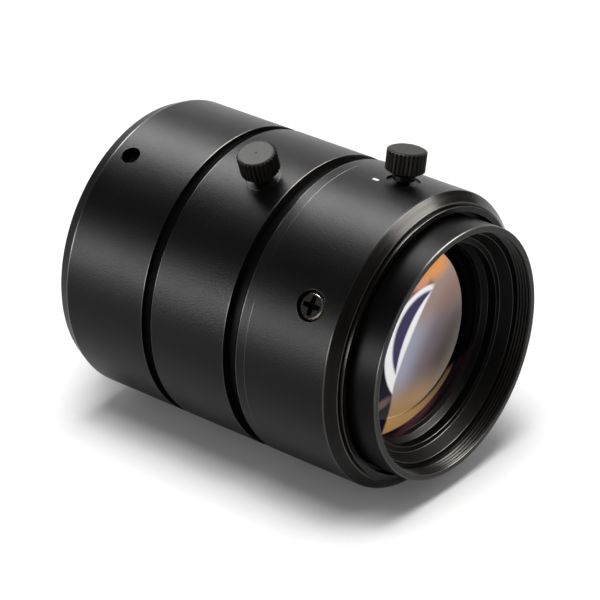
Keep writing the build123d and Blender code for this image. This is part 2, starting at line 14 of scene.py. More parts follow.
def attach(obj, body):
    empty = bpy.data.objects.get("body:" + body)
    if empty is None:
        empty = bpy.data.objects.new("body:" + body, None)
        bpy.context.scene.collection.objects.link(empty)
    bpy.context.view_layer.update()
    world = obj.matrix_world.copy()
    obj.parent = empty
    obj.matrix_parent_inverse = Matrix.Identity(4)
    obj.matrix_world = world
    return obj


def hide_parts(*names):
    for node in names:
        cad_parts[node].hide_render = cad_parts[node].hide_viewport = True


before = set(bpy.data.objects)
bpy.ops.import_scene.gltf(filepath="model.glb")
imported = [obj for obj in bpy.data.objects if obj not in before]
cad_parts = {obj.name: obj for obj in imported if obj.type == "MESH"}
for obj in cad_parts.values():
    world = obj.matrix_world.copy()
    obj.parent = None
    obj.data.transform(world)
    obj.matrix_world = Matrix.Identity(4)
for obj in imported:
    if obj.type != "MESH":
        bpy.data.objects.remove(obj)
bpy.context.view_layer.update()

MM = 0.001
OVERCUT = 1.0

# How finely shapes are made: the steps of turned pieces, small screws, lens faces and holes' edges
SEGMENTS = 240
SCREW_SEGMENTS = 64
DOME_STEPS = 32
EDGE_STEPS = 3
BEAD_STEPS = 96
BEAD_SIDES = 8
BEAD_WIDTH = 0.045
SUPPORT = 0.03
SHARP_ANGLE = 26

# Relief of blasted and of turned metal, in metres, and how far a turning mark runs along an end face
GRAIN_DEPTH = 0.00002
MARK_DEPTH = 0.00001
MARK_BUMP = 0.2
FACE_MARK_SHARE = 1.31

# Measures of the solids that the looks share. A screw's place is its station and its angle.
BODY_RADIUS = 22.0
MOUNT_THREAD_RADIUS = 12.7
MOUNT_THREAD_LENGTH = 4.0
MOUNT_THREAD_ROOT = 12.2
MOUNT_RELIEF = 0.5
MOUNT_BORE_RADIUS = 11.3
FLANGE_RADIUS = 15.4
FLANGE_THICKNESS = 1.5
SPIGOT_RADIUS = 16.9
SPIGOT_FRONT = 7.5
CLAMP_SCREW_TIP = 16.92
CLAMP_SCREW = (6.3, 118.9)
CLAMP_SCREW_RADIUS = 1.45
CLAMP_SCREW_LENGTH = 3.2
CLAMP_SCREW_BEVEL = 0.15
CLAMP_SOCKET_ACROSS = 1.5
CLAMP_SOCKET_DEPTH = 1.3
GROOVE_1_FLOOR = 21.4
GROOVE_1_REAR = 17.8
GROOVE_1_FRONT = 19.5
REAR_BARREL_BORE = 18.92
REAR_BEVEL_DEPTH = 0.9
REAR_BEVEL_FRONT = 3.5
IRIS_RING_REAR = 19.55
IRIS_RING_FRONT = 32.85
IRIS_BORE_RADIUS = 18.95
MAIN_BARREL_REAR = 9.2
MAIN_BARREL_RADIUS = 18.9
MAIN_BARREL_BORE = 15.65
GROOVE_2_FLOOR = 20.9
COLLAR_REAR = 32.9
COLLAR_FRONT = 34.55
JOURNAL_RADIUS = 17.0
JOURNAL_FRONT = 39.75
BAND_REAR = 34.6
BAND_BEVEL = 0.6
SLEEVE_REAR = 36.75
SLEEVE_FRONT = 52.05
SLEEVE_BEVEL = 1.4
SLEEVE_BORE_RADIUS = 19.8
HELICOID_BODY_RADIUS = 19.78
HELICOID_BORE_RADIUS = 18.0
HELICOID_FRONT = 50.65
SHOULDER_FRONT = 38.0
HELICOID_HOLE_START = 16.95
SLEEVE_HOLE_START = 18.78
LIP_RADIUS = 20.2
LIP_BORE_RADIUS = 19.36
LIP_FRONT = 52.6
SCREW_COUNT = 3
SLEEVE_SCREW = (45.8, 147.7)
COUNTERBORE_RADIUS = 2.3
COUNTERBORE_FLOOR = 20.4
SCREW_HEAD_RADIUS = 1.95
SCREW_HEAD_TOP = 21.8
SCREW_HEAD_BEVEL = 0.3
SCREW_SHANK_RADIUS = 0.97
SCREW_SHANK_END = 18.3
RECESS_LENGTH = 2.8
RECESS_WIDTH = 0.6
RECESS_CORE = 0.42
RECESS_DEPTH = 0.8
LOCK_HOLE_RADIUS = 1.0
LOCK_SEAT_RADIUS = 2.5
LOCK_SEAT_DEPTH = 0.3
IRIS_LOCK = (27.7, 108.1)
FOCUS_LOCK = (44.4, 80.4)
IRIS_LOCK_TIP = 20.04
FOCUS_LOCK_TIP = 19.09
LENS_BARREL_REAR = 9.6
LENS_BARREL_RADIUS = 15.6
LENS_BARREL_BORE = 14.9
BARREL_SHOULDER = 40.95
BARREL_THREAD_RADIUS = 17.95
RIM_REAR = 50.8
RIM_FRONT = 57.0
RIM_RADIUS = 18.7
FILTER_THREAD_RADIUS = 17.75
FILTER_THREAD_REAR = 54.5
RETAINER_RADIUS = 17.2
RING_MOUTH_RADIUS = 16.85
RING_CONE_RADIUS = 15.9
RING_STEP = 52.8
RING_STEP_RADIUS = 15.05
RING_FOOT = 51.4
FRONT_SEAT = 50.6
FRONT_LENS_SEAT = 46.6
FRONT_LENS_RADIUS = 15.8
FRONT_LENS_CLEAR = 14.4
FRONT_LENS_CURVE = 34.0
SECOND_LENS_FRONT = 43.4
SECOND_LENS_SEAT = 38.9
SECOND_LENS_RADIUS = 13.2
SECOND_LENS_CLEAR = 9.8
SECOND_LENS_CURVE = 20.0
IRIS_STATION = 29.2
IRIS_WALL = 1.2
IRIS_OPENING_RADIUS = 7.2
REAR_CELL_FRONT = 25.65
REAR_CELL_RADIUS = 14.88
REAR_CELL_OPENING = 8.4
THIRD_LENS_FRONT = 24.45
THIRD_LENS_RADIUS = 10.6
REAR_LENS_FRONT = 13.6
REAR_LENS_REAR = 11.0
REAR_LENS_RADIUS = 11.8
REAR_LENS_CURVE = 36.0
REAR_RETAINER_BORE = 10.4
DRIVE_PIN_STATION = 26.75
DRIVE_PIN_ANGLE = -90.0
DRIVE_PIN_RADIUS = 0.8
DRIVE_GROOVE_DEPTH = 1.7
GUIDE_PIN_STATION = 16.2
GUIDE_PIN_RADIUS = 0.8
IRIS_TURN = 55.0
FOCUS_TRAVEL = 4.0
WINDOW_GAP = 0.3
FIT = 0.02
RUNNING_FIT = 0.05
FLOOR_HEIGHT = -22.0
OUTSIDE = BODY_RADIUS + OVERCUT

# White index tick beside the focus ring's lock screw
TICK_STATION = 41.1
TICK_ANGLE = 87.5
TICK_LENGTH = 1.0
TICK_WIDTH = 0.55
TICK_SINK = 0.05
TICK_HEIGHT = 0.006


class Net:
    """A node tree under construction, with links and plain values set alike."""

    def __init__(self, tree):
        self.tree = tree

    def put(self, value, socket):
        if isinstance(value, bpy.types.NodeSocket):
            self.tree.links.new(value, socket)
        else:
            socket.default_value = (*value, 1) if socket.type == "RGBA" else value

    def add(self, kind, inputs=(), **settings):
        node = self.tree.nodes.new(kind)
        for name, value in settings.items():
            setattr(node, name, value)
        pairs = inputs.items() if isinstance(inputs, dict) else enumerate(inputs)
        for name, value in pairs:
            self.put(value, node.inputs[name])
        return node

    def take(self, kind, inputs=(), **settings):
        """The first output of a new node."""
        return self.add(kind, inputs, **settings).outputs[0]

    def math(self, operation, *values):
        return self.take("ShaderNodeMath", values, operation=operation)

    def plus(self, a, b):
        return self.math("ADD", a, b)

    def minus(self, a, b):
        return self.math("SUBTRACT", a, b)

    def times(self, a, b):
        return self.math("MULTIPLY", a, b)

    def over(self, a, b):
        return self.math("DIVIDE", a, b)

    def length(self, a, b):
        return self.math("SQRT", self.plus(self.math("POWER", a, 2.0), self.math("POWER", b, 2.0)))

    def place(self):
        return self.add("ShaderNodeTexCoord").outputs["Object"]

    def split(self, place):
        return self.add("ShaderNodeSeparateXYZ", (place,)).outputs

    def remap(self, value, low, high, to_low=0, to_high=1, kind="LINEAR"):
        limits = (value, low, high, to_low, to_high)
        return self.add("ShaderNodeMapRange", limits, interpolation_type=kind).outputs[0]

    def fade(self, value, low, high, to_low=0, to_high=1):
        return self.remap(value, low, high, to_low, to_high, "SMOOTHSTEP")

    def blend(self, factor, a, b):
        node = self.add("ShaderNodeMix", data_type="RGBA")
        for socket, value in zip([s for s in node.inputs if s.enabled], (factor, a, b)):
            self.put(value, socket)
        return next(s for s in node.outputs if s.enabled)


def group(name, kind, inputs, *outputs):
    """A new node group: its net, its input sockets and its output sockets.

    Each input has its default number, or else its socket's type.
    """
    tree = bpy.data.node_groups.new(name, kind)
    for label, default in inputs.items():
        if isinstance(default, str):
            tree.interface.new_socket(name=label, in_out="INPUT", socket_type=default)
        else:
            number = INTEGER if isinstance(default, int) else FLOAT
            tree.interface.new_socket(name=label, in_out="INPUT", socket_type=number).default_value = default
    for label in outputs:
        result = FLOAT if kind == SHADING else "NodeSocketGeometry"
        tree.interface.new_socket(name=label, in_out="OUTPUT", socket_type=result)
    net = Net(tree)
    return net, net.add("NodeGroupInput").outputs, net.add("NodeGroupOutput").inputs


SHADING, GROWTH = "ShaderNodeTree", "GeometryNodeTree"
FLOAT, INTEGER, MATERIAL = "NodeSocketFloat", "NodeSocketInt", "NodeSocketMaterial"


def blasted_grain():
    """Fine bead-blast grain and slow blotches."""
    net, given, out = group(
        "Blasted Grain", SHADING, {"Grain Scale": 5200.0, "Blotch Scale": 90.0}, "Grain", "Blotch")
    place = net.place()
    fine = net.add("ShaderNodeTexNoise", {"Vector": place, "Scale": given["Grain Scale"], "Detail": 3.0})
    slow = net.add("ShaderNodeTexNoise", {"Vector": place, "Scale": given["Blotch Scale"], "Detail": 4.0})
    net.put(net.remap(fine.outputs[0], 0.3, 0.7), out["Grain"])
    net.put(net.remap(slow.outputs[0], 0.35, 0.65), out["Blotch"])
    return net.tree


def turning_marks():
    """Rings that a lathe leaves round the optical axis, on walls and on end faces alike."""
    net, given, out = group("Turning Marks", SHADING, {"Pitch": 0.00012}, "Marks", "Sweep")
    place = net.place()
    x, y, z = net.split(place)
    along = net.over(net.plus(x, net.times(net.length(y, z), FACE_MARK_SHARE)), given["Pitch"])
    lines = net.add("ShaderNodeTexNoise", {"W": along, "Scale": 1.0, "Detail": 2.0}, noise_dimensions="1D")
    sweep = net.add("ShaderNodeTexNoise", {"Vector": place, "Scale": 140.0, "Detail": 2.0})
    net.put(net.remap(lines.outputs[0], 0.3, 0.7), out["Marks"])
    net.put(net.remap(sweep.outputs[0], 0.35, 0.65), out["Sweep"])
    return net.tree


def disc_place():
    """Where a point lies on the glass disc: across and up from the axis, and its radius, in radii."""
    net, given, out = group(
        "Disc Place", SHADING, {"Radius": FRONT_LENS_CLEAR * MM}, "Across", "Up", "Radius")
    _, y, z = net.split(net.place())
    across, up = net.over(y, given["Radius"]), net.over(z, given["Radius"])
    for value, socket in zip((across, up, net.length(across, up)), out):
        net.put(value, socket)
    return net.tree


def round_patch():
    """A soft-edged ellipse on the glass disc, turned about its own centre."""
    net, given, out = group("Round Patch", SHADING, {
        "Across": 0.0, "Up": 0.0, "Centre Across": 0.0, "Centre Up": 0.0, "Half Width": 0.5,
        "Half Height": 0.5, "Turn": 0.0, "Softness": 0.1}, "Mask")
    x = net.minus(given["Across"], given["Centre Across"])
    y = net.minus(given["Up"], given["Centre Up"])
    c, s = net.math("COSINE", given["Turn"]), net.math("SINE", given["Turn"])
    u = net.plus(net.times(x, c), net.times(y, s))
    v = net.minus(net.times(y, c), net.times(x, s))
    reach = net.length(net.over(u, given["Half Width"]), net.over(v, given["Half Height"]))
    outer, inner = net.plus(1.0, given["Softness"]), net.minus(1.0, given["Softness"])
    net.put(net.fade(reach, inner, outer, 1, 0), out["Mask"])
    return net.tree


GRAIN, MARKS, PLACE, PATCH = blasted_grain(), turning_marks(), disc_place(), round_patch()


def new_material(name, values):
    """A material with plain values on its shader: the material, its net and the shader's inputs."""
    material = bpy.data.materials.new(name)
    material.use_nodes = True
    net = Net(material.node_tree)
    shader = next(n for n in net.tree.nodes if n.type == "BSDF_PRINCIPLED").inputs
    for label, value in values.items():
        shader[label].default_value = value
    return material, net, shader


def surfaced(name, pattern, size, dark, light, roughness, specular, metallic, bump, depth):
    """A surface whose tone, gloss and relief follow a pattern's fine and slow parts."""
    material, net, shader = new_material(name, {"Specular IOR Level": specular, "Metallic": metallic})
    fine, slow = net.add("ShaderNodeGroup", (size,), node_tree=pattern).outputs
    tone = net.math("MULTIPLY_ADD", fine, 0.6, net.times(slow, 0.4))
    net.put(net.blend(tone, dark, light), shader["Base Color"])
    net.put(net.remap(tone, 0, 1, roughness + 0.05, roughness - 0.05), shader["Roughness"])
    relief = net.add("ShaderNodeBump", {"Height": fine, "Strength": bump, "Distance": depth})
    net.put(relief.outputs[0], shader["Normal"])
    return material


def blasted(name, dark, light, roughness, specular, bump=0.25, grain_scale=5200.0, metallic=0.0):
    """Bead-blasted, anodised, oxidised or painted metal."""
    return surfaced(name, GRAIN, grain_scale, dark, light, roughness, specular, metallic, bump, GRAIN_DEPTH)


def lathed(name, dark, light, roughness, specular, metallic=0.0, pitch=0.00012):
    """Turned metal with rings round the optical axis."""
    return surfaced(name, MARKS, pitch, dark, light, roughness, specular, metallic, MARK_BUMP, MARK_DEPTH)


BODY = blasted("body black", (0.001, 0.001, 0.0011), (0.0028, 0.0028, 0.0029), 0.33, 0.09, bump=0.7)
RIM = blasted("rim black", (0.001, 0.001, 0.001), (0.0024, 0.0023, 0.0022), 0.36, 0.05, bump=0.3)
TURNED = lathed("turned black", (0.002, 0.0016, 0.0012), (0.005, 0.004, 0.0032), 0.24, 0.09)
EDGE = lathed("broken edge", (0.03, 0.0295, 0.0285), (0.062, 0.061, 0.059), 0.28, 0.5, metallic=1.0)
# Groove floors; darker than the screws' black oxide, it is also painted shade in the knurls' notches and on
# the screw recesses' walls
GROOVE_AND_RECESS_SHADE = lathed("groove floor and painted recess shade", (0.001, 0.001, 0.001), (0.0022, 0.0022, 0.0022), 0.48, 0.006)
INSIDE = lathed("flat black inside", (0.001, 0.0009, 0.0009), (0.003, 0.0026, 0.0026), 0.42, 0.12,
                pitch=0.0002)
RING_BLACK = lathed("retaining ring black", (0.0018, 0.0016, 0.0014), (0.0042, 0.0037, 0.0034), 0.42, 0.06,
                    pitch=0.0002)
COLLAR = lathed("collar black", (0.001, 0.001, 0.001), (0.0022, 0.0022, 0.0022), 0.42, 0.028)
RIM_FACE = lathed("rim face black", (0.004, 0.0035, 0.003), (0.009, 0.008, 0.007), 0.3, 0.15)
THREAD_BLACK = lathed("thread black", (0.005, 0.0045, 0.004), (0.012, 0.0105, 0.0095), 0.26, 0.12)
SCREW = blasted("black oxide", (0.0045, 0.0038, 0.0031), (0.011, 0.0092, 0.0078), 0.34, 0.07,
                grain_scale=7000.0)
SCREW_EDGE = blasted("worn oxide edge", (0.32, 0.29, 0.25), (0.52, 0.48, 0.42), 0.26, 0.5,
                     grain_scale=7000.0, metallic=1.0)
BRASS = lathed("turned brass", (0.58, 0.4, 0.16), (0.78, 0.6, 0.28), 0.32, 0.5, metallic=1.0)
STEEL = lathed("ground steel", (0.42, 0.42, 0.43), (0.62, 0.62, 0.63), 0.28, 0.5, metallic=1.0)
BLADE = blasted("blued blade", (0.03, 0.032, 0.04), (0.06, 0.062, 0.072), 0.38, 0.5, grain_scale=3000.0)
WHITE = blasted("white paint", (0.7, 0.7, 0.69), (0.82, 0.82, 0.8), 0.45, 0.4)

# The materials of a turned piece, by slot
SIDE, BROKEN, FLOOR, SATIN, WALL, BORE = range(6)
OUTER = (BODY, EDGE, GROOVE_AND_RECESS_SHADE, TURNED, RIM, INSIDE)


def with_slot(slot, material):
    """A turned piece's materials with another one in a slot."""
    return tuple(material if k == slot else usual for k, usual in enumerate(OUTER))


def coated_glass(name, metallic):
    """Clear glass with a mirroring coat: its material, net and shader, and a point's place on its disc."""
    material, net, shader = new_material(
        name, {"Metallic": metallic, "Transmission Weight": 1.0, "Roughness": 0.0, "IOR": 1.5})
    return material, net, shader, net.add("ShaderNodeGroup", node_tree=PLACE).outputs


def inner_glass():
    """Glass with a faint tint that turns purple towards its rim."""
    material, net, shader, place = coated_glass("inner glass", 0.06)
    rim = net.fade(place["Radius"], 0.7, 1.0)
    net.put(net.blend(rim, (0.86, 0.88, 0.94), (0.55, 0.42, 0.6)), shader["Base Color"])
    return material


def front_glass():
    """The front lens: over a mirroring coat, its colour is painted reflections, orange above, lavender in
    the middle and gold below.
    """
    material, net, shader, place = coated_glass("coated front glass with painted reflections", 0.9)

    def patch(across, up, half_width, half_height, turn, softness):
        values = (place["Across"], place["Up"], across, up, half_width, half_height, radians(turn), softness)
        return net.take("ShaderNodeGroup", values, node_tree=PATCH)

    def disc(centre, radius, softness):
        return patch(*centre, radius, radius, 0, softness)

    gold, umber = (0.31, 0.18, 0.072), (0.11, 0.07, 0.04)
    fawn, brown = (0.29, 0.215, 0.19), (0.19, 0.11, 0.08)
    pale, lavender, grey = (0.3, 0.305, 0.38), (0.135, 0.105, 0.122), (0.025, 0.012, 0.006)
    orange, peach, rose = (0.69, 0.28, 0.08), (0.57, 0.27, 0.18), (0.2, 0.085, 0.085)
    white, violet, plum = (0.78, 0.78, 0.8), (0.043, 0.034, 0.088), (0.004, 0.003, 0.006)
    smoky_reflection, wine, dark = (0.11, 0.075, 0.075), (0.036, 0.012, 0.015), (0.004, 0.002, 0.003)
    arc_centre = (0.704, -0.526)
    # painted reflections inside the arc: pale on the left, brownish to the right, gold below and orange
    # above
    edge_light = disc(arc_centre, 1.18, 0.14)
    inner = net.blend(edge_light, pale, lavender)
    inner = net.blend(disc(arc_centre, 0.92, 0.2), inner, grey)
    upper = net.blend(edge_light, fawn, brown)
    inner = net.blend(net.fade(place["Up"], 0.2, 0.5), inner, upper)
    lower = net.blend(net.fade(place["Across"], -0.3, 0.2), gold, umber)
    inner = net.blend(net.fade(place["Up"], -0.08, -0.52), inner, lower)
    painted_orange_reflection = patch(0.05, 0.86, 0.28, 0.15, -10, 0.5)
    inner = net.blend(painted_orange_reflection, inner, orange)
    # outside it: dark, with painted reflections in rose and peach at the top and a smoky painted reflection
    # low on the left
    outer = net.blend(patch(-0.24, 0.68, 0.14, 0.08, 0, 0.6), plum, rose)
    outer = net.blend(painted_orange_reflection, net.blend(patch(-0.15, 0.76, 0.16, 0.09, 0, 0.4), outer, peach), orange)
    outer = net.blend(patch(-0.72, -0.38, 0.12, 0.05, 28, 0.5), outer, smoky_reflection)
    # two painted reflections, white crescents, with violet between them
    eye = net.blend(disc((-0.122, 0.122), 0.503, 0.035), white, violet)
    eye = net.blend(disc((0.194, -0.141), 0.782, 0.015), eye, white)
    colour = net.blend(disc((-0.101, 0.061), 0.613, 0.02), outer, eye)
    clear = net.times(disc(arc_centre, 1.348, 0.012), net.fade(place["Across"], -0.62, -0.59))
    clear = net.math("MAXIMUM", clear, net.fade(place["Across"], -0.04, 0.06))
    colour = net.blend(clear, colour, inner)
    # low down and at its rim the glass is painted dark, a painted reflection of the dark barrel
    painted_dark_barrel = net.blend(patch(-0.14, -0.76, 0.28, 0.1, 32, 0.5), dark, wine)
    colour = net.blend(disc((-0.564, 0.275), 1.064, 0.015), painted_dark_barrel, colour)
    net.put(net.blend(net.fade(place["Radius"], 0.98, 1.0), colour, dark), shader["Base Color"])
    # low down, outside a disc on the left, where the dark barrel is mirrored, the painted reflections glow
    # too: a painted glow, emission in their own colours
    painted_glow_off = net.math("MAXIMUM", disc((-0.395, 0.172), 0.775, 0.04), net.fade(place["Up"], -0.4, -0.3))
    net.put(net.blend(painted_glow_off, colour, (0, 0, 0)), shader["Emission Color"])
    shader["Emission Strength"].default_value = 1.0
    return material


FRONT_GLASS, INNER_GLASS = front_glass(), inner_glass()


# Turned pieces: a corner is (station, radius, width of its broken edge, slot of the side after it).
# One with a station and a radius alone is sharp, and the side after it is a bore.
def rounded(corners):
    """Rows of (station, radius, material) with each broken corner turned round, between support rows."""
    corners = [(*corner, 0, BORE)[:4] for corner in corners]
    rows = []
    for index, (station, radius, edge, material) in enumerate(corners):
        if not edge:
            rows.append((station, radius, material))
            continue
        corner = Vector((station, radius))
        back = (Vector(corners[index - 1][:2]) - corner).normalized()
        ahead = (Vector(corners[(index + 1) % len(corners)][:2]) - corner).normalized()
        start, end = corner + back * edge, corner + ahead * edge
        rows.append((*(start + back * SUPPORT), corners[index - 1][3]))
        for step in range(EDGE_STEPS + 1):
            share = step / EDGE_STEPS
            point = start.lerp(corner, share).lerp(corner.lerp(end, share), share)
            rows.append((*point, BROKEN if step < EDGE_STEPS else material))
        rows.append((*(end + ahead * SUPPORT), material))
    return rows


def shade(mesh):
    """Smooth faces, sharp where they meet at more than a slight angle."""
    mesh.polygons.foreach_set("use_smooth", [True] * len(mesh.polygons))
    mesh.set_sharp_from_angle(angle=radians(SHARP_ANGLE))


def add_object(name, data):
    """A new object in the scene."""
    obj = bpy.data.objects.new(name, data)
    bpy.context.scene.collection.objects.link(obj)
    return obj


def make_object(name, bm, materials):
    """Turns a bmesh into an object at the origin with smooth faces and sharp corners."""
    bmesh.ops.remove_doubles(bm, verts=bm.verts, dist=1e-8)
    bmesh.ops.recalc_face_normals(bm, faces=bm.faces)
    mesh = bpy.data.meshes.new(name)
    bm.to_mesh(mesh)
    bm.free()
    for material in materials:
        mesh.materials.append(material)
    shade(mesh)
    return add_object(name, mesh)


def spin(rows, place, steps):
    """Turns rows of (height, radius, slot) about an axis: a closed section as a bmesh."""
    bm = bmesh.new()
    rings = []
    for height, radius, _ in rows:
        count = steps if radius > 1e-6 else 1
        turns = [2 * pi * k / count for k in range(count)]
        rings.append([
            bm.verts.new(place(height * MM, radius * MM * cos(t), radius * MM * sin(t))) for t in turns])
    for index, (_, _, slot) in enumerate(rows):
        here, there = rings[index], rings[(index + 1) % len(rows)]
        if len(here) == len(there) == 1:
            continue
        for k in range(steps):
            loop = [here[k % len(here)], here[(k + 1) % steps % len(here)],
                    there[(k + 1) % steps % len(there)], there[k % len(there)]]
            bm.faces.new(list(dict.fromkeys(loop))).material_index = slot
    return bm


def turned(name, corners, materials=OUTER):
    """A closed section turned about the optical axis."""
    return make_object(name, spin(rounded(corners), lambda x, y, z: (x, y, z), SEGMENTS), materials)


def spun(name, rows, materials):
    """A small screw turned about local z, its bevels in the second material."""
    return make_object(name, spin(rows, lambda z, x, y: (x, y, z), SCREW_SEGMENTS), materials)


def prism(outline, placement, low, high):
    """A closed prism: an outline of (x, y) points between two heights, put in place by a matrix."""
    bm = bmesh.new()
    ends = [[bm.verts.new(placement @ Vector((x * MM, y * MM, z * MM))) for x, y in outline]
            for z in (low, high)]
    bm.faces.new(ends[0])
    bm.faces.new(ends[1])
    for k in range(len(outline)):
        after = (k + 1) % len(outline)
        bm.faces.new((ends[0][k], ends[0][after], ends[1][after], ends[1][k]))
    return bm


def radial(station, angle):
    """Local x along the optical axis, local z along a radius, as a matrix."""
    return Matrix.Translation((station * MM, 0, 0)) @ Matrix.Rotation(radians(angle - 90), 4, "X")


# Local x and y across the optical axis, local z along it
AXIAL = Matrix(((0, 0, 1, 0), (1, 0, 0, 0), (0, 1, 0, 0), (0, 0, 0, 1)))


def circle(radius, steps=64):
    return [(radius * cos(2 * pi * k / steps), radius * sin(2 * pi * k / steps)) for k in range(steps)]


def oblong(length, radius, steps=16):
    """A slot along x with round ends, its end centres a length apart."""
    ends = []
    for side in (1, -1):
        for k in range(steps + 1):
            turn = -pi / 2 + pi * k / steps + (0 if side > 0 else pi)
            ends.append((side * length / 2 + radius * cos(turn), radius * sin(turn)))
    return ends


def sector(inner, outer, start, sweep, steps=48):
    """Part of a ring across the axis, between two radii and from one angle through a sweep."""
    turns = [radians(start + sweep * k / steps) for k in range(steps + 1)]
    return [(inner * cos(t), inner * sin(t)) for t in turns] + [
        (outer * cos(t), outer * sin(t)) for t in reversed(turns)]


def peg(station, angle, radius, low, high, steps=64):
    """A round cutter on a radius of the lens, between two distances from the axis."""
    return prism(circle(radius, steps), radial(station, angle), low, high)


def drill(obj, cutters):
    """Cuts closed shapes out of an object, their walls taking the object's last material."""
    tools = []
    for bm in cutters:
        for face in bm.faces:
            face.material_index = len(obj.data.materials) - 1
        tool = make_object("cutter", bm, obj.data.materials)
        cut = obj.modifiers.new("cut", "BOOLEAN")
        cut.operation, cut.solver, cut.object = "DIFFERENCE", "EXACT", tool
        tools.append(tool)
    settle(obj)
    for tool in tools:
        bpy.data.objects.remove(tool)


def settle(obj):
    """Makes an object's modifiers permanent."""
    shown = obj.evaluated_get(bpy.context.evaluated_depsgraph_get())
    mesh = bpy.data.meshes.new_from_object(shown)
    obj.modifiers.clear()
    obj.data = mesh
    shade(mesh)


def bead(obj, station, angle, radius, material):
    """Adds a fine tube along a radial hole's edge in the body's wall: the hole's broken edge."""
    bm = bmesh.new()
    rings = []
    for k in range(BEAD_STEPS):
        turn = 2 * pi * k / BEAD_STEPS
        wall = sqrt(BODY_RADIUS**2 - (radius * sin(turn)) ** 2)
        ring = []
        for s in range(BEAD_SIDES):
            lean = 2 * pi * s / BEAD_SIDES
            reach = radius + BEAD_WIDTH * cos(lean)
            height = wall + BEAD_WIDTH * 0.6 * sin(lean) - BEAD_WIDTH * 0.3
            spot = Vector((reach * cos(turn) * MM, reach * sin(turn) * MM, height * MM))
            ring.append(bm.verts.new(radial(station, angle) @ spot))
        rings.append(ring)
    for k in range(BEAD_STEPS):
        here, there = rings[k], rings[(k + 1) % BEAD_STEPS]
        for s in range(BEAD_SIDES):
            after = (s + 1) % BEAD_SIDES
            bm.faces.new((here[s], here[after], there[after], there[s])).material_index = material
    merge(obj, make_object("extra", bm, obj.data.materials))


def merge(obj, extra):
    """Adds another object's mesh to an object, keeping materials by name."""
    names = [m.name for m in obj.data.materials]
    whole = bmesh.new()
    whole.from_mesh(obj.data)
    places = []
    for material in extra.data.materials:
        if material.name not in names:
            obj.data.materials.append(material)
            names.append(material.name)
        places.append(names.index(material.name))
    count = len(whole.faces)
    whole.from_mesh(extra.data)
    whole.faces.ensure_lookup_table()
    for face in whole.faces[count:]:
        face.material_index = places[face.material_index]
    whole.to_mesh(obj.data)
    whole.free()
    bpy.data.objects.remove(extra)


def spaced(station, first):
    """The stations and angles of three screws round the lens."""
    return [(station, first + 360 * k / SCREW_COUNT) for k in range(SCREW_COUNT)]


def ready(obj, node, body):
    """Puts a finished piece in the frame in place of its node."""
    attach(obj, body)
    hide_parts(node)


def dome(rim, clear, curve, outward):
    """Rows of a spherical lens face from its rim to its pole, hollow if the curve is negative."""
    centre_gap = sqrt(curve**2 - clear**2)
    rows = []
    for k in range(DOME_STEPS + 1):
        radius = clear * (1 - k / DOME_STEPS)
        height = copysign(sqrt(curve**2 - radius**2) - centre_gap, curve)
        rows.append((rim + outward * height, radius, 0, 0))
    return rows


def lens(node, material, flat, rim, radius, clear, curve, outward):
    """A lens with a flat face at one station and, past the rim's, a curved one."""
    piece = turned(node, [(flat, 0, 0, 0), (flat, radius, 0, 0), (rim, radius, 0, 0),
                          *dome(rim, clear, curve, outward)], (material,))
    ready(piece, node, "lens_barrel")


# Thread ridges and knurled screws are grown by rule
def grow(name, tree, values):
    """Evaluates a geometry tree with its inputs set, and gives the plain object."""
    seed = add_object(name, bpy.data.meshes.new(name))
    modifier = seed.modifiers.new("grow", "NODES")
    modifier.node_group = tree
    for item in tree.interface.items_tree:
        if item.item_type == "SOCKET" and item.in_out == "INPUT" and item.name in values:
            modifier[item.identifier] = values[item.name]
    settle(seed)
    kept = [material for material in seed.data.materials if material]
    places = [kept.index(material) if material else 0 for material in seed.data.materials]
    numbers = [places[polygon.material_index] for polygon in seed.data.polygons]
    seed.data.materials.clear()
    for material in kept:
        seed.data.materials.append(material)
    seed.data.polygons.foreach_set("material_index", numbers)
    return seed


def grid_rows(net, columns, rows):
    """A unit grid with its running fraction u and its whole row number."""
    grid = net.add("GeometryNodeMeshGrid", {
        "Size X": 1.0, "Size Y": 1.0, "Vertices X": columns, "Vertices Y": rows})
    x, y, _ = net.split(net.take("GeometryNodeInputPosition"))
    along = net.plus(x, 0.5)
    row = net.math("ROUND", net.times(net.plus(y, 0.5), float(rows - 1)))
    return grid.outputs["Mesh"], along, row


def by_row(net, row, values):
    """Picks a value by row number."""
    switch = net.add("GeometryNodeIndexSwitch", data_type="FLOAT")
    while len(switch.index_switch_items) < len(values):
        switch.index_switch_items.new()
    net.put(row, switch.inputs[0])
    for value, socket in zip(values, switch.inputs[1:]):
        net.put(value, socket)
    return switch.outputs[0]


def bend_grid(net, mesh, angle, radius, height):
    """Wraps a grid into round coordinates about local z."""
    x = net.times(radius, net.math("COSINE", angle))
    y = net.times(radius, net.math("SINE", angle))
    place = vector(net, x, y, height)
    return net.take("GeometryNodeSetPosition", {"Geometry": mesh, "Position": place})


def vector(net, *parts):
    return net.take("ShaderNodeCombineXYZ", parts)


def welded(net, geometry):
    """Closes a wrapped grid's seam and gives plain geometry."""
    merged = net.take("GeometryNodeMergeByDistance", {"Geometry": geometry, "Distance": 1e-7})
    return net.take("GeometryNodeRealizeInstances", {"Geometry": merged})


def painted(net, geometry, material, chosen=True):
    """Gives the chosen faces a material."""
    return net.take("GeometryNodeSetMaterial", {
        "Geometry": geometry, "Material": material, "Selection": chosen})


def marked(net, geometry, name, value):
    """Keeps a value on the points under a name."""
    return net.take("GeometryNodeStoreNamedAttribute", {
        "Geometry": geometry, "Name": name, "Value": value})


def over_mark(net, name, limit):
    """Picks the faces whose kept value is more than a limit."""
    value = net.take("GeometryNodeInputNamedAttribute", {"Name": name}, data_type="FLOAT")
    return net.take("FunctionNodeCompare", {"A": value, "B": limit}, data_type="FLOAT",
                   operation="GREATER_THAN")


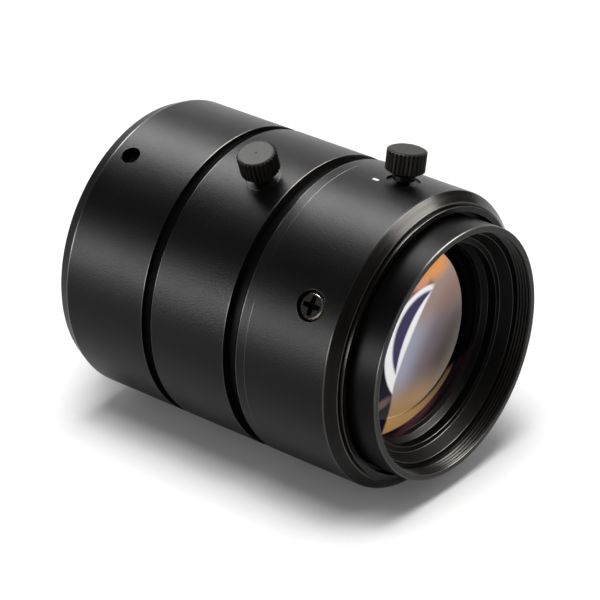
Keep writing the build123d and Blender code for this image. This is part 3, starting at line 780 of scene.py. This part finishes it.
def thread_tree():
    """A helical ridge about the optical axis that runs out at both ends."""
    net, given, out = group("Thread Ridge", GROWTH, {
        "Root Radius": 0.01, "Ridge Height": 0.0003, "Pitch": 0.0005, "Turns": 5.0, "Start": 0.0,
        "Columns": 961, "Material": MATERIAL}, "Geometry")
    mesh, along, row = grid_rows(net, given["Columns"], 5)
    angle = net.times(along, net.times(given["Turns"], 2 * pi))
    run_out = net.times(net.remap(along, 0, 0.04), net.remap(along, 0.96, 1, 1, 0))
    level = by_row(net, row, (-0.12, 1.0, 1.0, -0.12, -0.12))
    offset = by_row(net, row, (-0.46, -0.07, 0.07, 0.46, -0.46))
    height = net.times(net.times(given["Ridge Height"], run_out), level)
    turns = net.times(along, given["Turns"])
    lead = net.times(net.plus(turns, net.times(offset, run_out)), given["Pitch"])
    bent = bend_grid(net, mesh, angle, net.plus(given["Root Radius"], height),
                     net.plus(given["Start"], lead))
    upright = net.take("GeometryNodeTransform", {"Geometry": bent, "Rotation": (0, pi / 2, 0)})
    net.put(painted(net, welded(net, upright), given["Material"]), out[0])
    return net.tree


def knob_tree():
    """A knurled thumb screw on a radius of the lens: shank, neck, taper, knurl, bevel and centre mark."""
    net, given, out = group("Knurled Screw", GROWTH, {
        "Teeth": 28, "Steps a Tooth": 8, "Tooth Depth": 0.00024, "Head Radius": 0.00285,
        "Neck Radius": 0.00158, "Shank Radius": 0.00097, "Tip": 0.02, "Neck Start": 0.02215,
        "Taper Start": 0.0228, "Taper": 0.0008, "Top": 0.0266, "Bevel": 0.0002, "Mark Radius": 0.00014,
        "Station": 0.0, "Angle": 0.0,
        "Edge Material": MATERIAL, "Painted Notch Shade Material": MATERIAL, "Material": MATERIAL}, "Geometry")
    columns = net.plus(net.times(given["Teeth"], given["Steps a Tooth"]), 1.0)
    mesh, along, row = grid_rows(net, columns, 13)
    wave = net.math("PINGPONG", net.times(along, given["Teeth"]), 0.5)
    notch = net.remap(net.times(wave, 2.0), 0.34, 1.0)
    crest, neck, top = given["Head Radius"], given["Neck Radius"], given["Top"]
    toothed = net.minus(crest, net.times(given["Tooth Depth"], notch))
    face = net.minus(net.minus(crest, given["Tooth Depth"]), given["Bevel"])
    lower_part = net.over(net.minus(toothed, neck), net.minus(crest, neck))
    lower = net.math("MULTIPLY_ADD", given["Taper"], lower_part, given["Taper Start"])
    upper_part = net.over(net.minus(toothed, face), net.minus(crest, face))
    upper = net.minus(top, net.times(given["Bevel"], upper_part))
    inner_face = net.minus(face, 0.00005)
    radii = (0.0, given["Shank Radius"], given["Shank Radius"], neck, neck, toothed, toothed, toothed, face,
             inner_face, given["Mark Radius"], net.times(given["Mark Radius"], 0.5), 0.0)
    sink = net.minus(top, 0.00008)
    below = net.minus(upper, 0.00003)
    tip, start, taper = given["Tip"], given["Neck Start"], given["Taper Start"]
    heights = (tip, tip, start, start, taper, lower, below, upper, top, top, top, sink, sink)
    bent = bend_grid(net, mesh, net.times(along, 2 * pi),
                     by_row(net, row, radii), by_row(net, row, heights))
    bent = marked(net, bent, "worn", net.math("COMPARE", row, 7.6, 0.7))
    bent = marked(net, bent, "notch", net.times(notch, net.math("COMPARE", row, 5.5, 0.7)))
    placed = net.take("GeometryNodeTransform", {
        "Geometry": bent, "Rotation": vector(net, net.minus(given["Angle"], pi / 2)),
        "Translation": vector(net, given["Station"])})
    screw = painted(net, welded(net, placed), given["Material"])
    # the notch faces take a darker material than the rest: painted shade in the notches
    screw = painted(net, screw, given["Painted Notch Shade Material"], over_mark(net, "notch", 0.3))
    screw = painted(net, screw, given["Edge Material"], over_mark(net, "worn", 0.9))
    net.put(screw, out[0])
    return net.tree


def ring_tree():
    """Copies of one screw, evenly spaced round the optical axis."""
    net, given, out = group("Screws Round the Axis", GROWTH, {
        "Screw": "NodeSocketObject", "Count": 3, "First Angle": 0.0, "Station": 0.0}, "Geometry")
    points = net.take("GeometryNodePoints", {"Count": given["Count"]})
    index = net.take("GeometryNodeInputIndex")
    step = net.over(2 * pi, given["Count"])
    angle = net.plus(net.minus(given["First Angle"], pi / 2), net.times(index, step))
    placed = net.take("GeometryNodeSetPosition", {
        "Geometry": points, "Position": vector(net, given["Station"])})
    screw = net.add("GeometryNodeObjectInfo", {"Object": given["Screw"]})
    copies = net.take("GeometryNodeInstanceOnPoints", {
        "Points": placed, "Instance": screw.outputs["Geometry"],
        "Rotation": vector(net, angle)})
    net.put(net.take("GeometryNodeRealizeInstances", {"Geometry": copies}), out[0])
    return net.tree


THREAD, KNOB, ROUND = thread_tree(), knob_tree(), ring_tree()

# Mounting ring
mount = turned("mount_ring", (
    (-MOUNT_THREAD_LENGTH, MOUNT_BORE_RADIUS, 0.08, SATIN),
    (-MOUNT_THREAD_LENGTH, MOUNT_THREAD_ROOT, 0.12, SATIN),
    (-MOUNT_RELIEF, MOUNT_THREAD_ROOT, 0, SATIN),
    (0, MOUNT_THREAD_ROOT, 0, SATIN),
    (0, FLANGE_RADIUS, 0.12, SATIN),
    (FLANGE_THICKNESS, FLANGE_RADIUS, 0.05, SATIN),
    (FLANGE_THICKNESS, SPIGOT_RADIUS, 0, SATIN),
    (SPIGOT_FRONT, SPIGOT_RADIUS),
    (SPIGOT_FRONT, MOUNT_BORE_RADIUS, 0.08, BORE),
))
mount_thread = grow("mount_thread", THREAD, {
    "Root Radius": MOUNT_THREAD_ROOT * MM, "Ridge Height": (MOUNT_THREAD_RADIUS - MOUNT_THREAD_ROOT) * MM,
    "Pitch": 25.4 / 32 * MM, "Turns": 4.3, "Start": -3.72 * MM, "Columns": 1033, "Material": TURNED})
merge(mount, mount_thread)
ready(mount, "c_mount_ring", "root")

# Rear barrel, with the holes of the clamp screws
rear = turned("rear_barrel", (
    (FLANGE_THICKNESS, CLAMP_SCREW_TIP),
    (FLANGE_THICKNESS, BODY_RADIUS - REAR_BEVEL_DEPTH, 0.12, WALL),
    (REAR_BEVEL_FRONT, BODY_RADIUS, 0.14, SIDE),
    (GROOVE_1_REAR, BODY_RADIUS, 0.1, SIDE),
    (GROOVE_1_REAR, GROOVE_1_FLOOR, 0, FLOOR),
    (GROOVE_1_FRONT, GROOVE_1_FLOOR),
    (GROOVE_1_FRONT, REAR_BARREL_BORE),
    (MAIN_BARREL_REAR, REAR_BARREL_BORE),
    (MAIN_BARREL_REAR, CLAMP_SCREW_TIP),
))
drill(rear, [
    peg(*spot, CLAMP_SCREW_RADIUS + FIT, SPIGOT_RADIUS - OVERCUT, OUTSIDE)
    for spot in spaced(*CLAMP_SCREW)])
for spot in spaced(*CLAMP_SCREW):
    bead(rear, *spot, CLAMP_SCREW_RADIUS + FIT, SATIN)
ready(rear, "rear_barrel", "root")


def window(inner, outer, bore, travel):
    """The cutter of the window that the drive pin moves in, through a wall round a bore."""
    reach = DRIVE_PIN_RADIUS + WINDOW_GAP
    margin = degrees(asin(reach / bore))
    arc = sector(inner, outer, DRIVE_PIN_ANGLE - margin, IRIS_TURN + 2 * margin)
    return prism(arc, AXIAL, DRIVE_PIN_STATION - reach, DRIVE_PIN_STATION + travel + reach)


# Main barrel: its collar is the floor of the second groove
main = turned("main_barrel", (
    (MAIN_BARREL_REAR, MAIN_BARREL_BORE),
    (MAIN_BARREL_REAR, MAIN_BARREL_RADIUS),
    (COLLAR_REAR, MAIN_BARREL_RADIUS),
    (COLLAR_REAR, GROOVE_2_FLOOR, 0.06, FLOOR),
    (COLLAR_FRONT, GROOVE_2_FLOOR, 0.06, BORE),
    (COLLAR_FRONT, JOURNAL_RADIUS),
    (JOURNAL_FRONT, JOURNAL_RADIUS),
    (JOURNAL_FRONT, MAIN_BARREL_BORE),
), with_slot(FLOOR, COLLAR))
drill(main, [
    window(MAIN_BARREL_BORE - OVERCUT, MAIN_BARREL_RADIUS + 0.5, MAIN_BARREL_BORE, FOCUS_TRAVEL),
    peg(GUIDE_PIN_STATION, 0, GUIDE_PIN_RADIUS + FIT, MAIN_BARREL_BORE - OVERCUT,
        MAIN_BARREL_RADIUS + OVERCUT, 24)])
ready(main, "main_barrel", "root")

# Iris ring
iris_ring = turned("iris_ring", (
    (IRIS_RING_REAR, IRIS_BORE_RADIUS),
    (IRIS_RING_REAR, BODY_RADIUS, 0.11, SIDE),
    (IRIS_RING_FRONT, BODY_RADIUS, 0.11, BORE),
    (IRIS_RING_FRONT, IRIS_BORE_RADIUS),
))


def lock_cuts(station, angle, bore):
    """The hole and the flat seat of a lock screw."""
    return [peg(station, angle, LOCK_HOLE_RADIUS, bore - OVERCUT, OUTSIDE, 32),
            peg(station, angle, LOCK_SEAT_RADIUS, BODY_RADIUS - LOCK_SEAT_DEPTH, OUTSIDE)]


drill(iris_ring, lock_cuts(*IRIS_LOCK, IRIS_BORE_RADIUS) + [
    prism(oblong(FOCUS_TRAVEL + 0.15, DRIVE_PIN_RADIUS + RUNNING_FIT),
          radial(DRIVE_PIN_STATION + FOCUS_TRAVEL / 2, DRIVE_PIN_ANGLE),
          IRIS_BORE_RADIUS - OVERCUT, IRIS_BORE_RADIUS + DRIVE_GROOVE_DEPTH)])
bead(iris_ring, *IRIS_LOCK, LOCK_SEAT_RADIUS, BROKEN)
ready(iris_ring, "iris_ring", "iris_ring")

# Focus band with its helicoid
helicoid = turned("focus_band", (
    (BAND_REAR, JOURNAL_RADIUS + RUNNING_FIT),
    (BAND_REAR, BODY_RADIUS - BAND_BEVEL, 0.1, SATIN),
    (BAND_REAR + BAND_BEVEL, BODY_RADIUS, 0.1, SIDE),
    (SLEEVE_REAR, BODY_RADIUS, 0.05, BORE),
    (SLEEVE_REAR, HELICOID_BODY_RADIUS),
    (HELICOID_FRONT, HELICOID_BODY_RADIUS),
    (HELICOID_FRONT, HELICOID_BORE_RADIUS),
    (SHOULDER_FRONT, HELICOID_BORE_RADIUS),
    (SHOULDER_FRONT, JOURNAL_RADIUS + RUNNING_FIT),
))
drill(helicoid, [peg(*FOCUS_LOCK, LOCK_HOLE_RADIUS, HELICOID_HOLE_START, BODY_RADIUS, 32)] + [
    peg(*spot, SCREW_SHANK_RADIUS + FIT, HELICOID_HOLE_START, BODY_RADIUS, 32)
    for spot in spaced(*SLEEVE_SCREW)])
ready(helicoid, "focus_helicoid", "focus_ring")

# Focus sleeve with its bevel, lip and counterbores, and a white index tick
sleeve = turned("focus_sleeve", (
    (SLEEVE_REAR, SLEEVE_BORE_RADIUS),
    (SLEEVE_REAR, BODY_RADIUS, 0.05, SIDE),
    (SLEEVE_FRONT - SLEEVE_BEVEL, BODY_RADIUS, 0.12, SATIN),
    (SLEEVE_FRONT, BODY_RADIUS - SLEEVE_BEVEL, 0.1, SATIN),
    (SLEEVE_FRONT, LIP_RADIUS, 0, SATIN),
    (LIP_FRONT, LIP_RADIUS, 0.06, SATIN),
    (LIP_FRONT, LIP_BORE_RADIUS, 0.03, BORE),
    (HELICOID_FRONT, LIP_BORE_RADIUS),
    (HELICOID_FRONT, SLEEVE_BORE_RADIUS),
))
drill(sleeve, lock_cuts(*FOCUS_LOCK, HELICOID_BODY_RADIUS) + [
    cut for spot in spaced(*SLEEVE_SCREW) for cut in (
        peg(*spot, COUNTERBORE_RADIUS, COUNTERBORE_FLOOR, OUTSIDE),
        peg(*spot, SCREW_SHANK_RADIUS + 0.1, SLEEVE_HOLE_START, BODY_RADIUS, 32))])
bead(sleeve, *FOCUS_LOCK, LOCK_SEAT_RADIUS, BROKEN)
for spot in spaced(*SLEEVE_SCREW):
    bead(sleeve, *spot, COUNTERBORE_RADIUS, SATIN)
ready(sleeve, "focus_sleeve", "focus_ring")

tick_outline = sector(
    BODY_RADIUS - TICK_SINK, BODY_RADIUS + TICK_HEIGHT, TICK_ANGLE - degrees(TICK_WIDTH / 2 / BODY_RADIUS),
    degrees(TICK_WIDTH / BODY_RADIUS), 6)
tick_shape = prism(tick_outline, AXIAL, TICK_STATION, TICK_STATION + TICK_LENGTH)
tick = make_object("index_tick", tick_shape, (WHITE,))
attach(tick, "focus_ring")

# Lens barrel with the filter thread inside its rim
barrel = turned("lens_barrel", (
    (LENS_BARREL_REAR, LENS_BARREL_BORE),
    (LENS_BARREL_REAR, LENS_BARREL_RADIUS, 0.05, BORE),
    (BARREL_SHOULDER, LENS_BARREL_RADIUS),
    (BARREL_SHOULDER, BARREL_THREAD_RADIUS),
    (RIM_REAR, BARREL_THREAD_RADIUS),
    (RIM_REAR, RIM_RADIUS, 0.05, WALL),
    (RIM_FRONT, RIM_RADIUS, 0.2, FLOOR),
    (RIM_FRONT, FILTER_THREAD_RADIUS, 0.1, BORE),
    (FILTER_THREAD_REAR, FILTER_THREAD_RADIUS),
    (FILTER_THREAD_REAR, RETAINER_RADIUS),
    (FRONT_SEAT, RETAINER_RADIUS),
    (FRONT_SEAT, FRONT_LENS_RADIUS + FIT),
    (FRONT_LENS_SEAT, FRONT_LENS_RADIUS + FIT),
    (FRONT_LENS_SEAT, SECOND_LENS_RADIUS + FIT),
    (SECOND_LENS_SEAT, SECOND_LENS_RADIUS + FIT),
    (SECOND_LENS_SEAT, SECOND_LENS_CLEAR),
    (IRIS_STATION + IRIS_WALL, IRIS_OPENING_RADIUS),
    (IRIS_STATION, IRIS_OPENING_RADIUS),
    (IRIS_STATION, LENS_BARREL_BORE),
), with_slot(FLOOR, RIM_FACE))
drill(barrel, [
    window(LENS_BARREL_BORE - RUNNING_FIT, LENS_BARREL_RADIUS + RUNNING_FIT, LENS_BARREL_BORE, 0),
    prism(oblong(FOCUS_TRAVEL + WINDOW_GAP, GUIDE_PIN_RADIUS + RUNNING_FIT),
          radial(GUIDE_PIN_STATION - FOCUS_TRAVEL / 2, 0),
          LENS_BARREL_BORE - OVERCUT, LENS_BARREL_RADIUS + OVERCUT)])
filter_thread = grow("filter_thread", THREAD, {
    "Root Radius": FILTER_THREAD_RADIUS * MM, "Ridge Height": -0.2 * MM, "Pitch": 0.5 * MM, "Turns": 4.4,
    "Start": 54.62 * MM, "Columns": 1057, "Material": THREAD_BLACK})
merge(barrel, filter_thread)
ready(barrel, "lens_barrel", "lens_barrel")

# Front retaining ring: stepped, each step with a fine bright edge
retainer = turned("front_retaining_ring", (
    (FRONT_SEAT, FRONT_LENS_CLEAR, 0.05, BORE),
    (FRONT_SEAT, RETAINER_RADIUS - FIT),
    (FILTER_THREAD_REAR, RETAINER_RADIUS - FIT, 0.05, BORE),
    (FILTER_THREAD_REAR, RING_MOUTH_RADIUS, 0.05, BORE),
    (RING_STEP, RING_CONE_RADIUS, 0.05, BORE),
    (RING_STEP, RING_STEP_RADIUS, 0.06, BORE),
    (RING_FOOT, RING_STEP_RADIUS, 0.05, BORE),
), with_slot(BORE, RING_BLACK))
ready(retainer, "front_retaining_ring", "lens_barrel")

# Glass
lens("front_lens", FRONT_GLASS, FRONT_LENS_SEAT, FRONT_SEAT, FRONT_LENS_RADIUS, FRONT_LENS_CLEAR,
     FRONT_LENS_CURVE, 1)
lens("second_lens", INNER_GLASS, SECOND_LENS_FRONT, SECOND_LENS_SEAT, SECOND_LENS_RADIUS, SECOND_LENS_CLEAR,
     -SECOND_LENS_CURVE, -1)
lens("rear_lens", INNER_GLASS, REAR_LENS_FRONT, REAR_LENS_REAR, REAR_LENS_RADIUS, REAR_RETAINER_BORE,
     REAR_LENS_CURVE, -1)

# Rear cell and its retaining ring
cell = turned("rear_cell", (
    (LENS_BARREL_REAR, REAR_LENS_RADIUS + FIT),
    (LENS_BARREL_REAR, REAR_CELL_RADIUS, 0.06, BORE),
    (REAR_CELL_FRONT, REAR_CELL_RADIUS),
    (REAR_CELL_FRONT, REAR_CELL_OPENING),
    (THIRD_LENS_FRONT, REAR_CELL_OPENING),
    (THIRD_LENS_FRONT, THIRD_LENS_RADIUS + FIT),
    (REAR_LENS_FRONT, THIRD_LENS_RADIUS + FIT),
    (REAR_LENS_FRONT, REAR_LENS_RADIUS + FIT),
))
ready(cell, "rear_cell", "lens_barrel")
rear_retainer = turned("rear_retaining_ring", (
    (LENS_BARREL_REAR, REAR_RETAINER_BORE, 0.1, SATIN),
    (LENS_BARREL_REAR, REAR_LENS_RADIUS, 0.06, BORE),
    (REAR_LENS_REAR, REAR_LENS_RADIUS),
    (REAR_LENS_REAR, REAR_RETAINER_BORE),
))
ready(rear_retainer, "rear_retaining_ring", "lens_barrel")

# Lock screws
for node, (station, angle), tip in (
    ("iris_lock_screw", IRIS_LOCK, IRIS_LOCK_TIP), ("focus_lock_screw", FOCUS_LOCK, FOCUS_LOCK_TIP),
):
    knob = grow(node + "_knurled", KNOB, {
        "Station": station * MM, "Angle": radians(angle), "Tip": tip * MM, "Edge Material": SCREW_EDGE,
        "Painted Notch Shade Material": GROOVE_AND_RECESS_SHADE, "Material": SCREW})
    ready(knob, node, node)


def screws_round(name, screw, station, angle, node, body):
    """Three copies of one screw as a plain object, in place of their node."""
    ring = grow(name, ROUND, {"Screw": screw, "Count": SCREW_COUNT, "First Angle": radians(angle),
                              "Station": station * MM})
    bpy.data.objects.remove(screw)
    ready(ring, node, body)


def cross(length, width, core):
    """The outline of a crossed recess whose wings widen towards the middle."""
    points = []
    for k in range(4):
        turn = Matrix.Rotation(k * pi / 2, 2)
        wing = (length / 2, -width / 2), (length / 2, width / 2), (core, core)
        points += [turn @ Vector(point) for point in wing]
    return points


# the third material, darker, lines the screws' recesses when they are drilled: painted shade
SCREW_SET = (SCREW, SCREW_EDGE, GROOVE_AND_RECESS_SHADE)
head = spun("sleeve_screw", (
    (SCREW_SHANK_END, 0, 0), (SCREW_SHANK_END, SCREW_SHANK_RADIUS, 0),
    (COUNTERBORE_FLOOR, SCREW_SHANK_RADIUS, 0), (COUNTERBORE_FLOOR, SCREW_HEAD_RADIUS, 0),
    (SCREW_HEAD_TOP - SCREW_HEAD_BEVEL, SCREW_HEAD_RADIUS, 1),
    (SCREW_HEAD_TOP, SCREW_HEAD_RADIUS - SCREW_HEAD_BEVEL, 0), (SCREW_HEAD_TOP, 0, 0)), SCREW_SET)
drill(head, [prism(cross(RECESS_LENGTH, RECESS_WIDTH, RECESS_CORE), Matrix.Identity(4),
                   SCREW_HEAD_TOP - RECESS_DEPTH, SCREW_HEAD_TOP + OVERCUT)])
screws_round("sleeve_screws", head, *SLEEVE_SCREW, "sleeve_screws", "focus_ring")

clamp_top = CLAMP_SCREW_TIP + CLAMP_SCREW_LENGTH
grub = spun("clamp_screw", (
    (CLAMP_SCREW_TIP, 0, 0), (CLAMP_SCREW_TIP, CLAMP_SCREW_RADIUS, 0),
    (clamp_top - CLAMP_SCREW_BEVEL, CLAMP_SCREW_RADIUS, 1),
    (clamp_top, CLAMP_SCREW_RADIUS - CLAMP_SCREW_BEVEL, 0), (clamp_top, 0, 0)), SCREW_SET)
hexagon = circle(CLAMP_SOCKET_ACROSS / sqrt(3), 6)
drill(grub, [prism(hexagon, Matrix.Identity(4), clamp_top - CLAMP_SOCKET_DEPTH, clamp_top + OVERCUT)])
screws_round("clamp_screws", grub, *CLAMP_SCREW, "mount_clamp_screws", "root")

# The solids that stay as they are
CARRIED = {
    "iris_lock_pad": BRASS, "focus_lock_pad": BRASS, "guide_pin": STEEL, "iris_drive_pin": STEEL,
    "focus_retainer": INSIDE, "iris_cam_ring": INSIDE, "front_spacer": INSIDE, "rear_spacer": INSIDE,
    "third_lens": INNER_GLASS, **{f"iris_blade_{k}": BLADE for k in range(1, 6)},
}
for node, material in CARRIED.items():
    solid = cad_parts[node]
    solid.data.materials.clear()
    solid.data.materials.append(material)

# Floor, softboxes and camera
CENTRE = Vector((28, 0, 0)) * MM


def floor_material():
    """White paper that keeps the lens's shadow."""
    material, net, shader = new_material("white paper", {
        "Roughness": 0.9, "Specular IOR Level": 0.1, "Emission Color": (1, 1, 1, 1)})
    grain = net.add("ShaderNodeGroup", (900.0,), node_tree=GRAIN).outputs["Grain"]
    net.put(net.blend(grain, (0.9, 0.9, 0.9), (0.92, 0.92, 0.92)), shader["Base Color"])
    seen = net.add("ShaderNodeLightPath").outputs["Is Camera Ray"]
    net.put(net.times(seen, 0.05), shader["Emission Strength"])
    return material


bm = bmesh.new()
bmesh.ops.create_grid(bm, x_segments=1, y_segments=1, size=3.0)
bmesh.ops.translate(bm, verts=bm.verts, vec=(0, 0, FLOOR_HEIGHT * MM))
floor = make_object("floor", bm, (floor_material(),))


def facing(direction, distance):
    """A plane that faces the lens from a direction, its local x as near the optical axis as can be."""
    away = Vector(direction).normalized()
    along = (Vector((1, 0, 0)) - away * away.x).normalized()
    turn = Matrix((along, away.cross(along), away)).transposed().to_4x4()
    return Matrix.Translation(CENTRE + away * distance) @ turn


def black_card(direction, distance, length, width):
    """A card that keeps light out of one band of reflections."""
    bm = bmesh.new()
    half = [(x * length / 2, y * width / 2, 0) for x, y in ((-1, -1), (1, -1), (1, 1), (-1, 1))]
    place = facing(direction, distance)
    bm.faces.new([bm.verts.new(place @ Vector(corner)) for corner in half])
    card = make_object("black_card", bm, (GROOVE_AND_RECESS_SHADE,))
    for kind in ("visible_camera", "visible_shadow", "visible_diffuse", "visible_transmission"):
        setattr(card, kind, False)


def softbox(name, direction, distance, width, height, radiance, colour=(1, 1, 1)):
    """A soft light that faces the lens, given its direction, size and brightness."""
    light = bpy.data.lights.new(name, "AREA")
    light.shape, light.size, light.size_y = "RECTANGLE", width, height
    light.energy, light.color = radiance * pi * width * height, colour
    lamp = add_object(name, light)
    lamp.matrix_world = facing(direction, distance)
    lamp.visible_camera = lamp.visible_diffuse = False
    return lamp


def seen_at(turn):
    """Where the camera sees light mirrored by the lens's side: a direction at this angle round the axis."""
    return (-0.553, 0.833 * cos(radians(turn)), 0.833 * sin(radians(turn)))


softbox("overhead softbox", seen_at(72), 0.8, 0.7, 0.28, 24.0)
softbox("left softbox", seen_at(173), 0.8, 0.7, 0.2, 20.0)
softbox("backdrop", seen_at(28), 1.0, 1.4, 0.9, 1.2)
softbox("front softbox", (0.56, 0.53, 0.62), 0.9, 0.36, 0.5, 42.0, (1, 0.95, 0.88))

# Two soft suns in line across the lens, so that the shadow is short along it and soft in front of it
for lean in (-0.26, 0.0):
    ceiling_light = bpy.data.lights.new("ceiling", "SUN")
    ceiling_light.energy, ceiling_light.angle = 0.475 * pi, radians(26)
    ceiling = add_object("ceiling", ceiling_light)
    ceiling.rotation_euler = Vector((0.05, lean, 1)).to_track_quat("Z", "Y").to_euler()
    ceiling.visible_camera = ceiling.visible_glossy = False

black_card(seen_at(126), 0.7, 1.0, 0.62)

world = bpy.data.worlds.new("white room")
bpy.context.scene.world = world
world.use_nodes = True
net = Net(world.node_tree)
background = next(n for n in net.tree.nodes if n.type == "BACKGROUND")
rays = net.add("ShaderNodeLightPath").outputs
shown = net.math("MAXIMUM", rays["Is Camera Ray"], rays["Is Transmission Ray"])
dim = net.remap(rays["Is Glossy Ray"], 0, 1, 0.28, 0.15)
net.put(net.math("MAXIMUM", dim, shown), background.inputs["Strength"])
background.inputs["Color"].default_value = (1, 1, 1, 1)

CAMERA_PLACE = Vector((274.58, -302.83, 211.52)) * MM
CAMERA_AIM = Vector((-0.55326, 0.6818, -0.47859))
camera_data = bpy.data.cameras.new("camera")
camera_data.sensor_width, camera_data.lens, camera_data.clip_start = 36, 184.55, 0.01
camera = add_object("camera", camera_data)
camera.location = CAMERA_PLACE
camera.rotation_euler = CAMERA_AIM.to_track_quat("-Z", "Y").to_euler()
bpy.context.scene.camera = camera
bpy.context.scene.view_settings.view_transform = "Standard"
